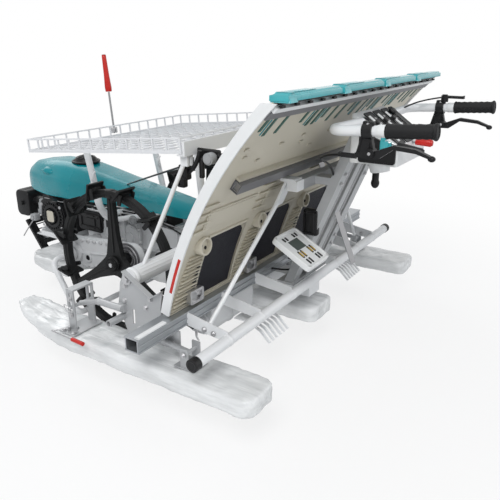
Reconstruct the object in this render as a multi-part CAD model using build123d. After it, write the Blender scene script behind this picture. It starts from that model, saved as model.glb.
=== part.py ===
from build123d import *
from math import asin, atan2, cos, degrees, hypot, radians, sin
import os

# Walking rice transplanter, four rows. Millimetres.
# Stations run forward from the side floats' rear ends, y runs to the machine's left,
# heights run up from the floor. The whole is centred on its box when it is written.

# Overall
ROW_PITCH = 300.0            # one seedling row
ROWS = 4
FLOAT_PITCH = 2 * ROW_PITCH  # centre float to side float
TRACK = ROW_PITCH            # wheel plane from the centreline
REAR_REACH = -313.0          # station of the grips' rear ends
FRONT_REACH = 1710.0         # station of the air cleaner's front
MIDDLE = (FRONT_REACH + REAR_REACH) / 2
SEAT = 0.3                   # gap between pieces that seat on each other
BORE_GAP = 0.05              # shaft in its bore
PLATE_T = 4.0

# Wheels
WHEEL_R = 310.0              # over the lugs
RIM_OUT = 282.0
RIM_IN = 254.0
RIM_W = 26.0
LUGS = 12
LUG_W = 78.0
LUG_T = 8.0
LUG_H = 66.0
LUG_TURN = 32.0              # how far a lug leans from the radius
SPOKES = 3
HUB_R = 25.0
HUB_OUT = 28.0
WEB_R = 50.0
NECK_IN = 18.0               # neck under each lug, from the tyre radius
AXLE_R = 15.0
AXLE_X = 840.0
# A lug's outer corner, and the height of an axle whose wheel stands on two lugs
LUG_LEAN = radians(LUG_TURN)
CORNER_SIDE = LUG_H / 2 * sin(LUG_LEAN) - LUG_T / 2 * cos(LUG_LEAN)
CORNER_TURN = degrees(atan2(CORNER_SIDE, WHEEL_R))
AXLE_Z = hypot(WHEEL_R, CORNER_SIDE) * cos(radians(180 / LUGS))

# Swing cases that carry the wheels
SWING_IN = 196.0
SWING_W = 40.0
SWING_X = 1150.0
SWING_Z = 262.0
SWING_BOSS = 62.0
SWING_END = 48.0
TRUNNION_R = 22.0
TRUNNION_REACH = 30.0
COLLAR_R = 44.0
FLANGE_R = 52.0
FLANGE_T = 7.0
SHAFT_DEPTH = 34.0

# Floats
FLOAT_Z = 140.0
FLOAT_H = 65.0
FLOAT_W = 150.0
FLOAT_CORNER = 22.0
FLOAT_WALL = 4.0             # blow-moulded skin
SIDE_FLOAT_L = 1000.0
SIDE_BOW = 265.0
BOW_RISE = 85.0
CENTRE_REAR = 114.0
CENTRE_FRONT = 1455.0
CENTRE_BOW = 150.0
CENTRE_W = 170.0
WING_W = 524.0
WING_REAR = 1190.0
DECK_Z = FLOAT_Z + FLOAT_H
FOOT_Z = DECK_Z + SEAT          # what stands on a deck
FOOT_T = 4.0

# Tray profile, and what is on it
TRAY_TOP = (-15.0, 957.0)
TRAY_MID = (153.0, 752.0)
TRAY_FOOT = (330.0, 340.0)
TRAY_T = 4.0
WALL_H = 22.0
WALL_T = 6.0
TRAY_W = ROWS * ROW_PITCH
SCREEN_Z0 = 352.0
SCREEN_Z1 = 562.0
SCREEN_W = 186.0
SCREEN_SHIFT = -54.0         # from the lane's middle
SCREEN_T = 3.0
CHANNEL_Z0 = 716.0
CHANNEL_Z1 = 744.0
CHANNEL_D = 26.0
CHANNEL_HALF = 500.0
CHANNEL_WALL = 2.5

# Rails and bars of the planting part
RAIL_X0 = 303.0
RAIL_X1 = 350.0
RAIL_Z1 = TRAY_FOOT[1] - 1.0
RAIL_Z0 = RAIL_Z1 - 42.0
RAIL_HALF = 755.0
RAIL_WALL = 4.0
BAR_X = 157.0
BAR_Z = 287.0
BAR_R = 17.0
BAR_HALF = 711.0
BAR_WALL = 2.5
CAP_L = 22.0
COVER_X = 485.0
COVER_Z = 419.0
COVER_R = 28.0
COVER_WALL = 2.5
END_Y = 590.0
COVER_HALF = END_Y - SEAT
PLATE_YS = (170.0, 370.0, 545.0)
CASE_Z0 = 196.0
CASE_Y0 = 180.0
CASE_Y1 = 420.0
CASE_X0 = 307.0
CASE_X1 = 413.0
CASE_WALL = 4.0
CRANK_X = CASE_X1 - 30.0

# Main beam
BEAM_W = 80.0
BEAM_Z0 = 228.0
BEAM_Z1 = RAIL_Z0
BEAM_FRONT = 740.0
BEAM_WALL = 3.2

# Transmission and engine
CASE_FRONT = 1205.0
BASE_Z = 240.0
BASE_T = 20.0
BASE_RAIL_Y = 98.0
ENGINE_X = 1395.0
ENGINE_L = 210.0
ENGINE_Y0 = -110.0
ENGINE_Y1 = 95.0
ENGINE_TOP = 428.0
FAN_R = 74.0
FAN_T = 40.0
FAN_Z = 352.0
GUARD_Y = 103.0
FRONT_BAR_X0 = 1520.0
FRONT_BAR_X1 = 1552.0
FRONT_BAR_DROP = 26.0
LASH_R = 8.0
GUARD_TOP = (1607.0, 284.0)   # middle of the guard's upper bar
GUARD_FOOT = (1512.0, 160.0)
GUARD_BAR = 24.0             # height of its bars

# Spare seedling rack, tilted up to the rear
RACK_FRONT = 1104.0
RACK_L = 706.0
RACK_HALF = 429.0
RACK_Z = 760.0
RACK_DEPTH = 48.0
RACK_TILT = 5.26
RACK_COUNT_ALONG = 13
RACK_COUNT_OVER = 15
WIRE = 5.0
LEG_R = 13.0
LEG_Y = 190.0
REAR_LEG_IN = 132.0          # rear legs' tops, from the rack's rear rail

# Handles
COLUMN_FOOT = (206.0, 290.0)
COLUMN_HEAD = (-18.0, 832.0)
HANDLE_Y = 326.0
HANDLE_R = 14.0
HANDLE_WALL = 2.5
HANDLE_X0 = -22.0
HANDLE_Z0 = 866.0
HANDLE_Z1 = 884.0
GRIP_L = 130.0
GRIP_R = 19.0
BOX_HALF = 130.0
BOX_WALL = 3.0

# Front stand
STAND_X = 1235.0
STAND_Z = 221.0
STAND_R = 12.0
STAND_HALF = 290.0
STAND_FOOT_X = 1105.0

# Float brackets and arms
FRONT_LEG_X = SIDE_FLOAT_L - SIDE_BOW - 35.0
LEG_TOP = 350.0
REAR_EAR_X = 251.0
SOCKET_X = COVER_X + 31.0     # open stub on the end plate's front edge
ELBOW_X = FRONT_LEG_X - 97.0
REAR_ARM_X = (SOCKET_X + REAR_EAR_X) / 2 + 15.0
ARM_Z = 321.0
ARM_R = 11.0
PIN_R = 5.5

# Side markers
MARKER_X = FRONT_LEG_X + 5.0
MARKER_Y = 654.0
MARKER_Z = 218.0
MARKER_BEND = (MARKER_X + 34.0, 694.0, MARKER_Z)
MARKER_END = (MARKER_X - 65.0, 699.0, MARKER_Z)
TIP_L = 52.0


def block(x0, x1, y0, y1, z0, z1):
    return Pos(x0, y0, z0) * Box(x1 - x0, y1 - y0, z1 - z0, align=(Align.MIN, Align.MIN, Align.MIN))


def rod(a, b, r):
    run = Vector(*b) - Vector(*a)
    upright = (Align.CENTER, Align.CENTER, Align.MIN)
    return Plane(origin=a, z_dir=run) * Cylinder(r, run.length, align=upright)


def across(x, z, r, y0, y1):
    return rod((x, min(y0, y1), z), (x, max(y0, y1), z), r)


def side_plane(y):
    return Plane(origin=(0, y, 0), x_dir=(1, 0, 0), z_dir=(0, -1, 0))


def side_plate(points, y0, y1):
    face = side_plane(min(y0, y1)) * make_face(Polyline(*points, close=True))
    return extrude(face, amount=-abs(y1 - y0))


def deck_plate(points, z0, z1):
    return extrude(Plane.XY.offset(z0) * make_face(Polyline(*points, close=True)), amount=z1 - z0)


def bent_tube(points, radius, r):
    path = FilletPolyline(*points, radius=radius)
    start = Plane(origin=path @ 0, z_dir=path % 0)
    return sweep(start * Circle(r), path=path)


def flat_bar(a, b, width, depth):
    run = Vector(*b) - Vector(*a)
    flat = Plane(origin=a, x_dir=(0, 1, 0), z_dir=run)
    return flat * Box(width, depth, run.length, align=(Align.CENTER, Align.CENTER, Align.MIN))


def channel_bar(a, b, width, depth, wall):
    run = Vector(*b) - Vector(*a)
    flat = Plane(origin=a, x_dir=(0, 1, 0), z_dir=run)
    align = (Align.CENTER, Align.CENTER, Align.MIN)
    inside = Pos(0, -wall, -1) * Box(width - 2 * wall, depth, run.length + 2, align=align)
    return flat * (Box(width, depth, run.length, align=align) - inside)


def joined(first, *rest):
    return first.fuse(*rest)


def mirrored(piece):
    return mirror(piece, about=Plane.XZ)


def several(*pieces):
    return Compound(children=list(pieces))


def pair(*pieces):
    return several(*[q for p in pieces for q in (p, mirrored(p))])


nodes = {}


# Floats
def float_between(keel_points, deck_points, rear, plan):
    keel = ThreePointArc(*keel_points)
    deck = ThreePointArc(*deck_points)
    stern = [(rear, deck_points[0][1]), (rear, keel_points[0][1])]
    outline = [Line(stern[1], keel @ 0), keel, Line(keel @ 1, deck @ 1), deck, Line(deck @ 0, stern[0]),
               Line(*stern)]
    body = extrude(side_plane(-WING_W) * make_face(outline), amount=-2 * WING_W)
    whole = plan + [(x, -y) for x, y in reversed(plan)]
    return body & deck_plate(whole, 0, DECK_Z + 200)


def side_float(wall):
    bow = SIDE_FLOAT_L - SIDE_BOW
    tip = SIDE_FLOAT_L - 2 * wall
    low, high = FLOAT_Z + wall, DECK_Z - wall
    keel = [(bow, low), (bow + 0.56 * SIDE_BOW, low + 0.3 * BOW_RISE), (tip, low + BOW_RISE)]
    deck = [(bow + 15, high), (bow + 0.55 * SIDE_BOW, high + 12), (tip - 12, high + 38)]
    half = FLOAT_W / 2 - wall
    plan = [(wall, half - FLOAT_CORNER), (wall + FLOAT_CORNER, half), (bow, half), (tip - 60, half - 18),
            (tip, half - 45)]
    return float_between(keel, deck, wall, plan)


def centre_float(wall):
    bow = CENTRE_FRONT - CENTRE_BOW
    tip = CENTRE_FRONT - 2 * wall
    low, high = FLOAT_Z + wall, DECK_Z - wall
    keel = [(bow, low), (bow + 0.57 * CENTRE_BOW, low + 15), (tip, low + 48)]
    deck = [(bow + 5, high), (bow + 0.5 * CENTRE_BOW, high + 1.5), (tip - 8, high + 5)]
    rear = CENTRE_REAR + wall
    half = CENTRE_W / 2 - wall
    wing = WING_W / 2 - wall
    plan = [(rear, half - FLOAT_CORNER), (rear + FLOAT_CORNER, half), (WING_REAR - 70 + wall, half),
            (WING_REAR + wall, half + 70), (WING_REAR + wall, wing), (tip - 60, wing), (tip, wing - 50)]
    return float_between(keel, deck, rear, plan)


SIDE_FLOAT = side_float(0) - side_float(FLOAT_WALL)
nodes["side_float_left"] = Pos(0, FLOAT_PITCH, 0) * SIDE_FLOAT
nodes["side_float_right"] = Pos(0, -FLOAT_PITCH, 0) * SIDE_FLOAT
nodes["centre_float"] = centre_float(0) - centre_float(FLOAT_WALL)


# Wheels: a rubber-covered rim with leaning lugs, three spokes, a hub and its shaft
def wheel(side):
    plane_y = side * TRACK
    rim = across(0, 0, RIM_OUT, -RIM_W / 2, RIM_W / 2) - across(0, 0, RIM_IN, -RIM_W, RIM_W)
    hub_in = side * (SWING_IN + SWING_W + FLANGE_T + SEAT) - plane_y
    parts = [across(0, 0, HUB_R, hub_in, side * HUB_OUT)]
    parts.append(across(0, 0, WEB_R, -9, 9))
    upper = [(0, WEB_R - 4), (WEB_R, 34), (110, 22), (165, 17), (RIM_IN + 6, 12)]
    outline = upper + [(r, -h) for r, h in reversed(upper)]
    for k in range(SPOKES):
        angle = 90 + 360 / SPOKES * k
        parts.append(Rot(0, -angle, 0) * side_plate(outline, -10, 10))
    lug = Box(LUG_H, LUG_W, LUG_T)
    lug_mid = WHEEL_R - LUG_H / 2 * cos(LUG_LEAN) - LUG_T / 2 * sin(LUG_LEAN)
    for k in range(LUGS):
        angle = 360 / LUGS * (k + 0.5) - CORNER_TURN
        neck = block(RIM_OUT - 6, WHEEL_R - NECK_IN, -20, 20, -16, 16)
        parts.append(Rot(0, -angle, 0) * joined(Pos(lug_mid, 0, 0) * Rot(0, -LUG_TURN, 0) * lug, neck))
    parts.append(across(0, 0, AXLE_R, side * (SWING_IN + SWING_W - SHAFT_DEPTH) - plane_y, side * 20))
    return Pos(AXLE_X, plane_y, AXLE_Z) * joined(rim, *parts)


def swing_case(side):
    y0, y1 = side * SWING_IN, side * (SWING_IN + SWING_W)
    rise = atan2(SWING_Z - AXLE_Z, SWING_X - AXLE_X)
    lean = (SWING_BOSS - SWING_END) / hypot(SWING_X - AXLE_X, SWING_Z - AXLE_Z)
    corners = []
    for x, z, r, ways in ((AXLE_X, AXLE_Z, SWING_END, (1, -1)), (SWING_X, SWING_Z, SWING_BOSS, (-1, 1))):
        for way in ways:
            turn = rise + way * (radians(90) + lean)
            corners.append((x + r * cos(turn), z + r * sin(turn)))
    case = joined(side_plate(corners, y0, y1), across(AXLE_X, AXLE_Z, SWING_END, y0, y1),
                  across(SWING_X, SWING_Z, SWING_BOSS, y0, y1),
                  across(AXLE_X, AXLE_Z, FLANGE_R, y1 - side, y1 + side * FLANGE_T))
    case -= across(AXLE_X, AXLE_Z, AXLE_R + BORE_GAP, y1 - side * (SHAFT_DEPTH + SEAT), y1 + side * 20)
    case -= across(SWING_X, SWING_Z, TRUNNION_R + BORE_GAP, y0 - side * 5, y0 + side * TRUNNION_REACH)
    return case


for name, side in (("left", 1), ("right", -1)):
    nodes["wheel_" + name] = wheel(side)
    nodes["swing_case_" + name] = swing_case(side)

# Transmission case, with the trunnions that the swing cases turn on
case_parts = [block(740, 990, -62, 62, 268, 380), block(930, 1000, -84, 84, 255, 395)]
for side in (1, -1):
    trunnion_end = side * (SWING_IN + TRUNNION_REACH - SEAT)
    case_parts.append(across(SWING_X, SWING_Z, TRUNNION_R, side * 90, trunnion_end))
    case_parts.append(across(SWING_X, SWING_Z, COLLAR_R, side * 100, side * (SWING_IN - SEAT)))
nodes["transmission_case"] = joined(block(985, CASE_FRONT, -105, 105, BASE_Z + BASE_T, 408), *case_parts)

# Main beam from the transmission back to the guard bar, with the planting beam's post
beam = block(BAR_X, BEAM_FRONT, -BEAM_W / 2, BEAM_W / 2, BEAM_Z0, BEAM_Z1)
half = BEAM_W / 2 - BEAM_WALL
beam -= block(BAR_X + 40, BEAM_FRONT - 20, -half, half, BEAM_Z0 + BEAM_WALL, BEAM_Z1 - BEAM_WALL)
case_lug = block(BEAM_FRONT - 15, BEAM_FRONT, -50, 50, BEAM_Z0, BEAM_Z1 + 60)
post = side_plate([(440, BEAM_Z1 - 2), (560, BEAM_Z1 - 2), (512, COVER_Z), (458, COVER_Z)], -34, 34)
post -= block(400, 600, -28, 28, BEAM_Z1 + 8, COVER_Z + 50)
main_beam = joined(beam, case_lug, post) - across(COVER_X, COVER_Z, COVER_R, -50, 50)
nodes["main_beam"] = main_beam - across(BAR_X, BAR_Z, BAR_R, -50, 50)

# Engine base with its rails and the saddles of the front stand
base = [block(CASE_FRONT, FRONT_BAR_X0, -112, 112, BASE_Z, BASE_Z + BASE_T),
        block(FRONT_BAR_X0, FRONT_BAR_X1, -82, 82, BASE_Z - FRONT_BAR_DROP, BASE_Z + BASE_T)]
for side in (1, -1):
    y0, y1 = sorted((side * (BASE_RAIL_Y - 13), side * (BASE_RAIL_Y + 13)))
    base.append(block(CASE_FRONT, FRONT_BAR_X1, y0, y1, BASE_Z - 4, BASE_Z + 2))
    base.append(block(STAND_X - 24, STAND_X + 24, y0, y1, STAND_Z - STAND_R - 3, BASE_Z))
engine_base = joined(*base)
nodes["engine_base"] = engine_base - across(STAND_X, STAND_Z, STAND_R + BORE_GAP, -200, 200)

# Engine
engine_front = ENGINE_X + ENGINE_L / 2
nodes["engine_block"] = block(engine_front - ENGINE_L, engine_front, ENGINE_Y0, ENGINE_Y1, BASE_Z + BASE_T,
                              ENGINE_TOP)
nodes["fan_cover"] = joined(across(ENGINE_X, FAN_Z, FAN_R, ENGINE_Y1, ENGINE_Y1 + FAN_T),
                            across(ENGINE_X, FAN_Z, FAN_R - 22, ENGINE_Y1, ENGINE_Y1 + FAN_T + 8))
cleaner = block(FRONT_REACH - 95, FRONT_REACH, -12, 88, 302, 426)
cleaner = fillet(cleaner.edges().filter_by(Axis.Y), 24)
nodes["air_cleaner"] = joined(cleaner, block(engine_front, FRONT_REACH - 90, 14, 60, 350, 400))
nodes["muffler"] = joined(across(ENGINE_X, 345, 52, ENGINE_Y0 - 90, ENGINE_Y0 - 12),
                          across(ENGINE_X, 345, 18, ENGINE_Y0 - 20, ENGINE_Y0))

# Sloping guard in front of the engine, hung under the base's front bar
guard_x, guard_z = GUARD_TOP
bar_low = BASE_Z - FRONT_BAR_DROP - GUARD_BAR
guard = [block(guard_x - 9, guard_x + 9, -GUARD_Y, GUARD_Y, guard_z - GUARD_BAR / 2, guard_z + GUARD_BAR / 2),
         block(FRONT_BAR_X0, FRONT_BAR_X1, -GUARD_Y, GUARD_Y, bar_low, bar_low + GUARD_BAR)]
for side in (1, -1):
    guard.append(flat_bar((guard_x + 3, side * GUARD_Y, guard_z + GUARD_BAR / 2),
                          (GUARD_FOOT[0], side * GUARD_Y, GUARD_FOOT[1]), 36, 12))
lash_x = (FRONT_BAR_X0 + FRONT_BAR_X1) / 2
lash_hole = rod((lash_x, 0, bar_low - 10), (lash_x, 0, bar_low + GUARD_BAR + 10), LASH_R)
nodes["engine_guard"] = joined(*guard) - lash_hole

# Hood: a shell that tapers back to the tray, open below
# columns: station, half width, bottom, shoulder, top, half width of the top
HOOD = [(1682.0, 58.0, 452.0, 492.0, 508.0, 40.0),
        (1600.0, 96.0, 436.0, 545.0, 572.0, 62.0),
        (1320.0, 105.0, 434.0, 548.0, 590.0, 60.0),
        (1000.0, 84.0, 446.0, 500.0, 536.0, 48.0),
        (662.0, 58.0, 432.0, 466.0, 486.0, 36.0)]
HOOD_WALL = 4.0
CAP_R = 34.0
# columns: station, foot, top
PROPS = [(1180.0, 408.0, 460.0),
         (800.0, 380.0, 458.0)]


def hood_body(wall):
    sections = []
    for k, (station, half, bottom, shoulder, top, flat) in enumerate(HOOD):
        h, f = half - wall, flat - wall / 2
        shift = {0: -wall, len(HOOD) - 1: wall}.get(k, 0)
        low, mid, high = bottom - 2 * wall, shoulder - wall / 2, top - wall
        ring = [(-h, low), (h, low), (h, mid), (f, high), (-f, high), (-h, mid)]
        plane = Plane(origin=(station + shift, 0, 0), x_dir=(0, 1, 0), z_dir=(1, 0, 0))
        sections.append(plane * make_face(Polyline(*ring, close=True)))
    return loft(sections, ruled=True)


nodes["hood"] = hood_body(0) - hood_body(HOOD_WALL)
cap_x, cap_z = HOOD[2][0], HOOD[2][4]
nodes["fuel_cap"] = joined(rod((cap_x, 0, cap_z), (cap_x, 0, cap_z + 14), CAP_R),
                           rod((cap_x, 0, cap_z + 10), (cap_x, 0, cap_z + 32), CAP_R - 7))
hood_props = []
hood_room = hood_body(HOOD_WALL + SEAT)
for station, low, high in PROPS:
    shelf = block(station - 10, station + 10, -HOOD[2][1], HOOD[2][1], low, high) & hood_room
    hood_props.append(joined(shelf, block(station - 10, station + 10, -40, 40, low, high - 10)))
nodes["hood_props"] = several(*hood_props)


# Spare seedling rack: a floor grid and a rim of four ladder walls
def ladder(length, height, cells_l, cells_h, wire):
    face = Rectangle(length, height)
    step_l, step_h = (length - wire) / cells_l, (height - wire) / cells_h
    holes = GridLocations(step_l, step_h, cells_l, cells_h) * Rectangle(step_l - wire, step_h - wire)
    return extrude(face - holes, amount=wire)


def in_rack(shape):
    return Pos(RACK_FRONT, 0, RACK_Z) * Rot(0, RACK_TILT, 0) * shape


grid = ladder(RACK_L, 2 * RACK_HALF, RACK_COUNT_ALONG, RACK_COUNT_OVER, WIRE)
floor_grid = Pos(-RACK_L / 2, 0, -RACK_DEPTH) * grid
nodes["rack_floor"] = in_rack(floor_grid)
wall_h = RACK_DEPTH - WIRE
side_wall = Rot(90, 0, 0) * ladder(RACK_L, wall_h, RACK_COUNT_ALONG, 1, WIRE)
end_wall = Rot(0, 0, 90) * (Rot(90, 0, 0) * ladder(2 * RACK_HALF, wall_h, RACK_COUNT_OVER, 1, WIRE))
mid_z = -wall_h / 2
rack_rim = joined(Pos(-RACK_L / 2, RACK_HALF, mid_z) * side_wall,
                  Pos(-RACK_L / 2, -RACK_HALF + WIRE, mid_z) * side_wall,
                  Pos(-WIRE, 0, mid_z) * end_wall, Pos(-RACK_L, 0, mid_z) * end_wall)
nodes["rack_rim"] = in_rack(rack_rim)


def under_rack(station, drop=0.0):
    return RACK_Z + (RACK_FRONT - station) * sin(radians(RACK_TILT)) - RACK_DEPTH - drop


# Rack legs, rear plate with its clevises, and struts down to the planting beam
rack_room = in_rack(block(-900, 100, -500, 500, -RACK_DEPTH, 300))
leg_low = 408 + LEG_R
front_legs = bent_tube([(1080, LEG_Y, under_rack(1080, -8)), (1012, LEG_Y, leg_low), (1012, -LEG_Y, leg_low),
                        (1080, -LEG_Y, under_rack(1080, -8))], 60, LEG_R)
nodes["rack_front_legs"] = front_legs - rack_room
rear_leg_x = RACK_FRONT - RACK_L + REAR_LEG_IN
rear_leg_top = (rear_leg_x, LEG_Y, under_rack(rear_leg_x, -12))
rear_leg = rod((COVER_X + 8, LEG_Y, COVER_Z + 20), rear_leg_top, LEG_R) - rack_room
nodes["rack_rear_legs"] = pair(rear_leg - across(COVER_X, COVER_Z, COVER_R, 100, 300))
rear_x = RACK_FRONT - RACK_L - 6
plate_low = under_rack(rear_x) - 4
rack_plate = [block(rear_x - 8, rear_x, -RACK_HALF, RACK_HALF, plate_low - 4, plate_low + 40),
              block(rear_x - 8, rear_x + 22, -RACK_HALF, RACK_HALF, plate_low - 4, plate_low)]
for side in (1, -1):
    y0, y1 = sorted((side * (RACK_HALF - 16), side * (RACK_HALF - 44)))
    ear = block(rear_x - 4, rear_x + 22, y0, y1, plate_low - 36, plate_low - 3)
    rack_plate.append(ear - block(rear_x - 10, rear_x + 30, y0 + 9, y1 - 9, plate_low - 40, plate_low - 8))
behind_rack = in_rack(block(-RACK_L - SEAT, 100, -500, 500, -RACK_DEPTH - 2, 300))
nodes["rack_plate"] = joined(*rack_plate) - behind_rack
strut_y = RACK_HALF - 30
strut = rod((COVER_X, 525, COVER_Z + 20), (rear_x + 9, strut_y, plate_low - 9), 7)
strut -= block(rear_x - 50, rear_x + 60, 300, 500, plate_low - 36 - SEAT, plate_low + 50)
nodes["rack_struts"] = pair(strut - across(COVER_X, COVER_Z, COVER_R, 400, 700))

# Centre sight pole, clamped to the rack's front rail
POLE_R = 4.0
POLE_X = RACK_FRONT + POLE_R + SEAT
pole_ends = [(POLE_X, 0, RACK_Z - 8), (POLE_X + 12, 0, 892), (POLE_X + 24, 0, 1037)]
nodes["sight_pole"] = rod(pole_ends[0], pole_ends[1], POLE_R)
nodes["sight_grip"] = rod((POLE_X + 12, 0, 892.3), pole_ends[2], 10)

# Planting part: beam, rail, end plates, guard bar and its plates
nodes["planting_beam"] = (across(COVER_X, COVER_Z, COVER_R, -COVER_HALF, COVER_HALF)
                          - across(COVER_X, COVER_Z, COVER_R - COVER_WALL, -COVER_HALF + 4, COVER_HALF - 4))
rail = block(RAIL_X0, RAIL_X1, -RAIL_HALF, RAIL_HALF, RAIL_Z0, RAIL_Z1)
rail -= block(RAIL_X0 + RAIL_WALL, RAIL_X1 - RAIL_WALL, -RAIL_HALF - 1, RAIL_HALF + 1, RAIL_Z0 + RAIL_WALL,
              RAIL_Z1 - RAIL_WALL)
nodes["guide_rail"] = rail
end_top = [(497, 446), (390, 385), (RAIL_X1 + 1, 412)]
end_outline = end_top + [(RAIL_X1 + 12, 350), (RAIL_X1 + 8, RAIL_Z0), (RAIL_X0 - 10, RAIL_Z0), (RAIL_X0 - 10, 232),
                         (500, 232), (534, 321), (520, 400)]
end_plate = side_plate(end_outline, END_Y, END_Y + PLATE_T)
end_flange = [side_plate([a, b, (b[0], b[1] - PLATE_T), (a[0], a[1] - PLATE_T)], END_Y, END_Y + 18)
              for a, b in zip(end_top, end_top[1:])]
end_slot = side_plate([(466, 322), (476, 322), (478, 272), (468, 272)], END_Y - 5, END_Y + 10)
end_boss = across(COVER_X, COVER_Z, 16, END_Y, END_Y + 10)
nodes["end_plates"] = pair(joined(end_plate, *end_flange, end_boss) - end_slot)
guard_bar = across(BAR_X, BAR_Z, BAR_R, -BAR_HALF + CAP_L, BAR_HALF - CAP_L)
nodes["guard_bar"] = guard_bar - across(BAR_X, BAR_Z, BAR_R - BAR_WALL, -BAR_HALF, BAR_HALF)
nodes["guard_caps"] = pair(across(BAR_X, BAR_Z, BAR_R + 2, BAR_HALF - CAP_L, BAR_HALF))
plates = []
for y in PLATE_YS:
    outline = [(BAR_X, BAR_Z - 8), (BAR_X, BAR_Z + 26), (RAIL_X0, RAIL_Z1 - 2), (RAIL_X0, RAIL_Z0 - 2)]
    plates.append(side_plate(outline, y - PLATE_T / 2, y + PLATE_T / 2) - across(BAR_X, BAR_Z, BAR_R, 0, 700))
nodes["bar_plates"] = pair(*plates)

# Planting cases under the rail, each with a riser to the beam, and the arms on their ends
case = block(CASE_X0, CASE_X1, CASE_Y0, CASE_Y1, CASE_Z0, RAIL_Z0)
case = fillet(case.edges().filter_by(Axis.Y).group_by(Axis.Z)[0], 40)
inside = block(CASE_X0 + CASE_WALL, CASE_X1 - CASE_WALL, CASE_Y0 + CASE_WALL, CASE_Y1 - CASE_WALL,
               CASE_Z0 + CASE_WALL, RAIL_Z0 - CASE_WALL)
case -= fillet(inside.edges().filter_by(Axis.Y).group_by(Axis.Z)[0], 40 - CASE_WALL)
riser = side_plate([(358, 293), (470, 293), (506, 405), (460, 405)], ROW_PITCH - 25, ROW_PITCH + 25)
for y0, y1 in ((-30, -4), (4, 30)):
    riser -= side_plate([(372, 302), (458, 302), (482, 380), (458, 380)], ROW_PITCH + y0, ROW_PITCH + y1)
riser -= across(COVER_X, COVER_Z, COVER_R, 200, 400)
riser -= block(300, RAIL_X1 + SEAT, 200, 400, RAIL_Z0, 500)
nodes["planting_cases"] = pair(joined(case, riser))
arms = []
for face, way in ((CASE_Y0, -1), (CASE_Y1, 1)):
    crank = across(CRANK_X, 246, 30, face, face + way * 14)
    outline = [(CRANK_X - 25, 225), (CRANK_X + 23, 235), (CRANK_X + 37, 300), (CRANK_X + 15, 322),
               (CRANK_X - 10, 300)]
    arms.append(joined(crank, side_plate(outline, face + way * 14, face + way * 34)))
nodes["planting_arms"] = pair(*arms)

# Rakes behind the wheels, hung from the guard bar
RAKE_TINES = 6
RAKE_HALF = 60.0
TINE_T = 6.0
rake_low = BAR_Z - 34
hanger = [(BAR_X - 6, BAR_Z), (BAR_X + 20, BAR_Z), (250, rake_low), (200, rake_low)]
rake = [block(196, 262, TRACK - RAKE_HALF, TRACK + RAKE_HALF, rake_low - 4, rake_low),
        side_plate(hanger, TRACK - 20, TRACK + 20)]
for k in range(RAKE_TINES):
    y = TRACK - RAKE_HALF + (2 * RAKE_HALF - TINE_T) * k / (RAKE_TINES - 1)
    outline = [(210, rake_low), (160, rake_low - 18), (126, rake_low - 52), (132, rake_low - 56),
               (166, rake_low - 24), (214, rake_low - 4)]
    rake.append(side_plate(outline, y, y + TINE_T))
nodes["rakes"] = pair(joined(*rake) - across(BAR_X, BAR_Z, BAR_R, 200, 400))

# Float brackets: slotted legs in front, low ears at the rear, pads on the centre float
leg_x0, leg_x1 = FRONT_LEG_X - 16, FRONT_LEG_X + 16
foot_top = FOOT_Z + FOOT_T
front_bracket = [block(leg_x0 - 20, leg_x1 + 20, FLOAT_PITCH - 48, FLOAT_PITCH + 70, FOOT_Z, foot_top)]
for y0, y1 in ((-42, -37), (37, 42)):
    leg = block(leg_x0, leg_x1, FLOAT_PITCH + y0, FLOAT_PITCH + y1, FOOT_Z, LEG_TOP)
    slot = block(FRONT_LEG_X - 6, FRONT_LEG_X + 6, FLOAT_PITCH - 60, FLOAT_PITCH + 60, 268, LEG_TOP - 14)
    front_bracket.append(leg - slot)
front_bracket.append(block(leg_x0, leg_x1, FLOAT_PITCH - 42, FLOAT_PITCH + 42, LEG_TOP - 5, LEG_TOP))
ear_x0, ear_x1 = REAR_EAR_X - 14, REAR_EAR_X + 14
rear_bracket = [block(ear_x0 - 22, ear_x1 + 22, FLOAT_PITCH - 34, FLOAT_PITCH + 34, FOOT_Z, foot_top)]
for y0, y1 in ((-30, -25), (25, 30)):
    rear_bracket.append(block(ear_x0, ear_x1, FLOAT_PITCH + y0, FLOAT_PITCH + y1, FOOT_Z, 270))
nodes["float_brackets"] = pair(joined(*front_bracket), joined(*rear_bracket))
centre_pads = [block(x0, x1, -20, 20, FOOT_Z, BEAM_Z0 - SEAT) for x0, x1 in ((560, 640), (230, 290))]
nodes["centre_float_pads"] = several(*centre_pads)

# Arms from the end plates to the float brackets, with their pins
arm_y = END_Y + PLATE_T
arm_mid = arm_y + ARM_R + 3
front_arm = joined(block(SOCKET_X - 16, SOCKET_X + 10, arm_y, arm_mid, ARM_Z - 13, ARM_Z + 12),
                   rod((SOCKET_X - 12, arm_mid, ARM_Z), (ELBOW_X, arm_mid, ARM_Z), ARM_R),
                   Pos(ELBOW_X, arm_mid, ARM_Z) * Sphere(ARM_R + 2),
                   rod((ELBOW_X, arm_mid, ARM_Z), (FRONT_LEG_X, FLOAT_PITCH, 288), ARM_R - 2),
                   across(FRONT_LEG_X, 288, PIN_R, FLOAT_PITCH - 48, FLOAT_PITCH + 48))
rear_arm = joined(block(REAR_ARM_X - 30, REAR_ARM_X, arm_y, arm_mid, 252, 270),
                  rod((REAR_ARM_X, arm_mid, 262), (REAR_EAR_X, arm_mid, 250), ARM_R - 2),
                  across(REAR_EAR_X, 250, PIN_R, FLOAT_PITCH - 25, FLOAT_PITCH + 25))
socket = across(SOCKET_X, 288, 11, arm_y, arm_y + 64) - across(SOCKET_X, 288, 8, arm_y + 8, arm_y + 70)
past_plate = block(300, 640, 0, arm_y, 200, 400)
nodes["float_arms"] = pair(joined(front_arm, socket) - past_plate, rear_arm - past_plate)

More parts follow.
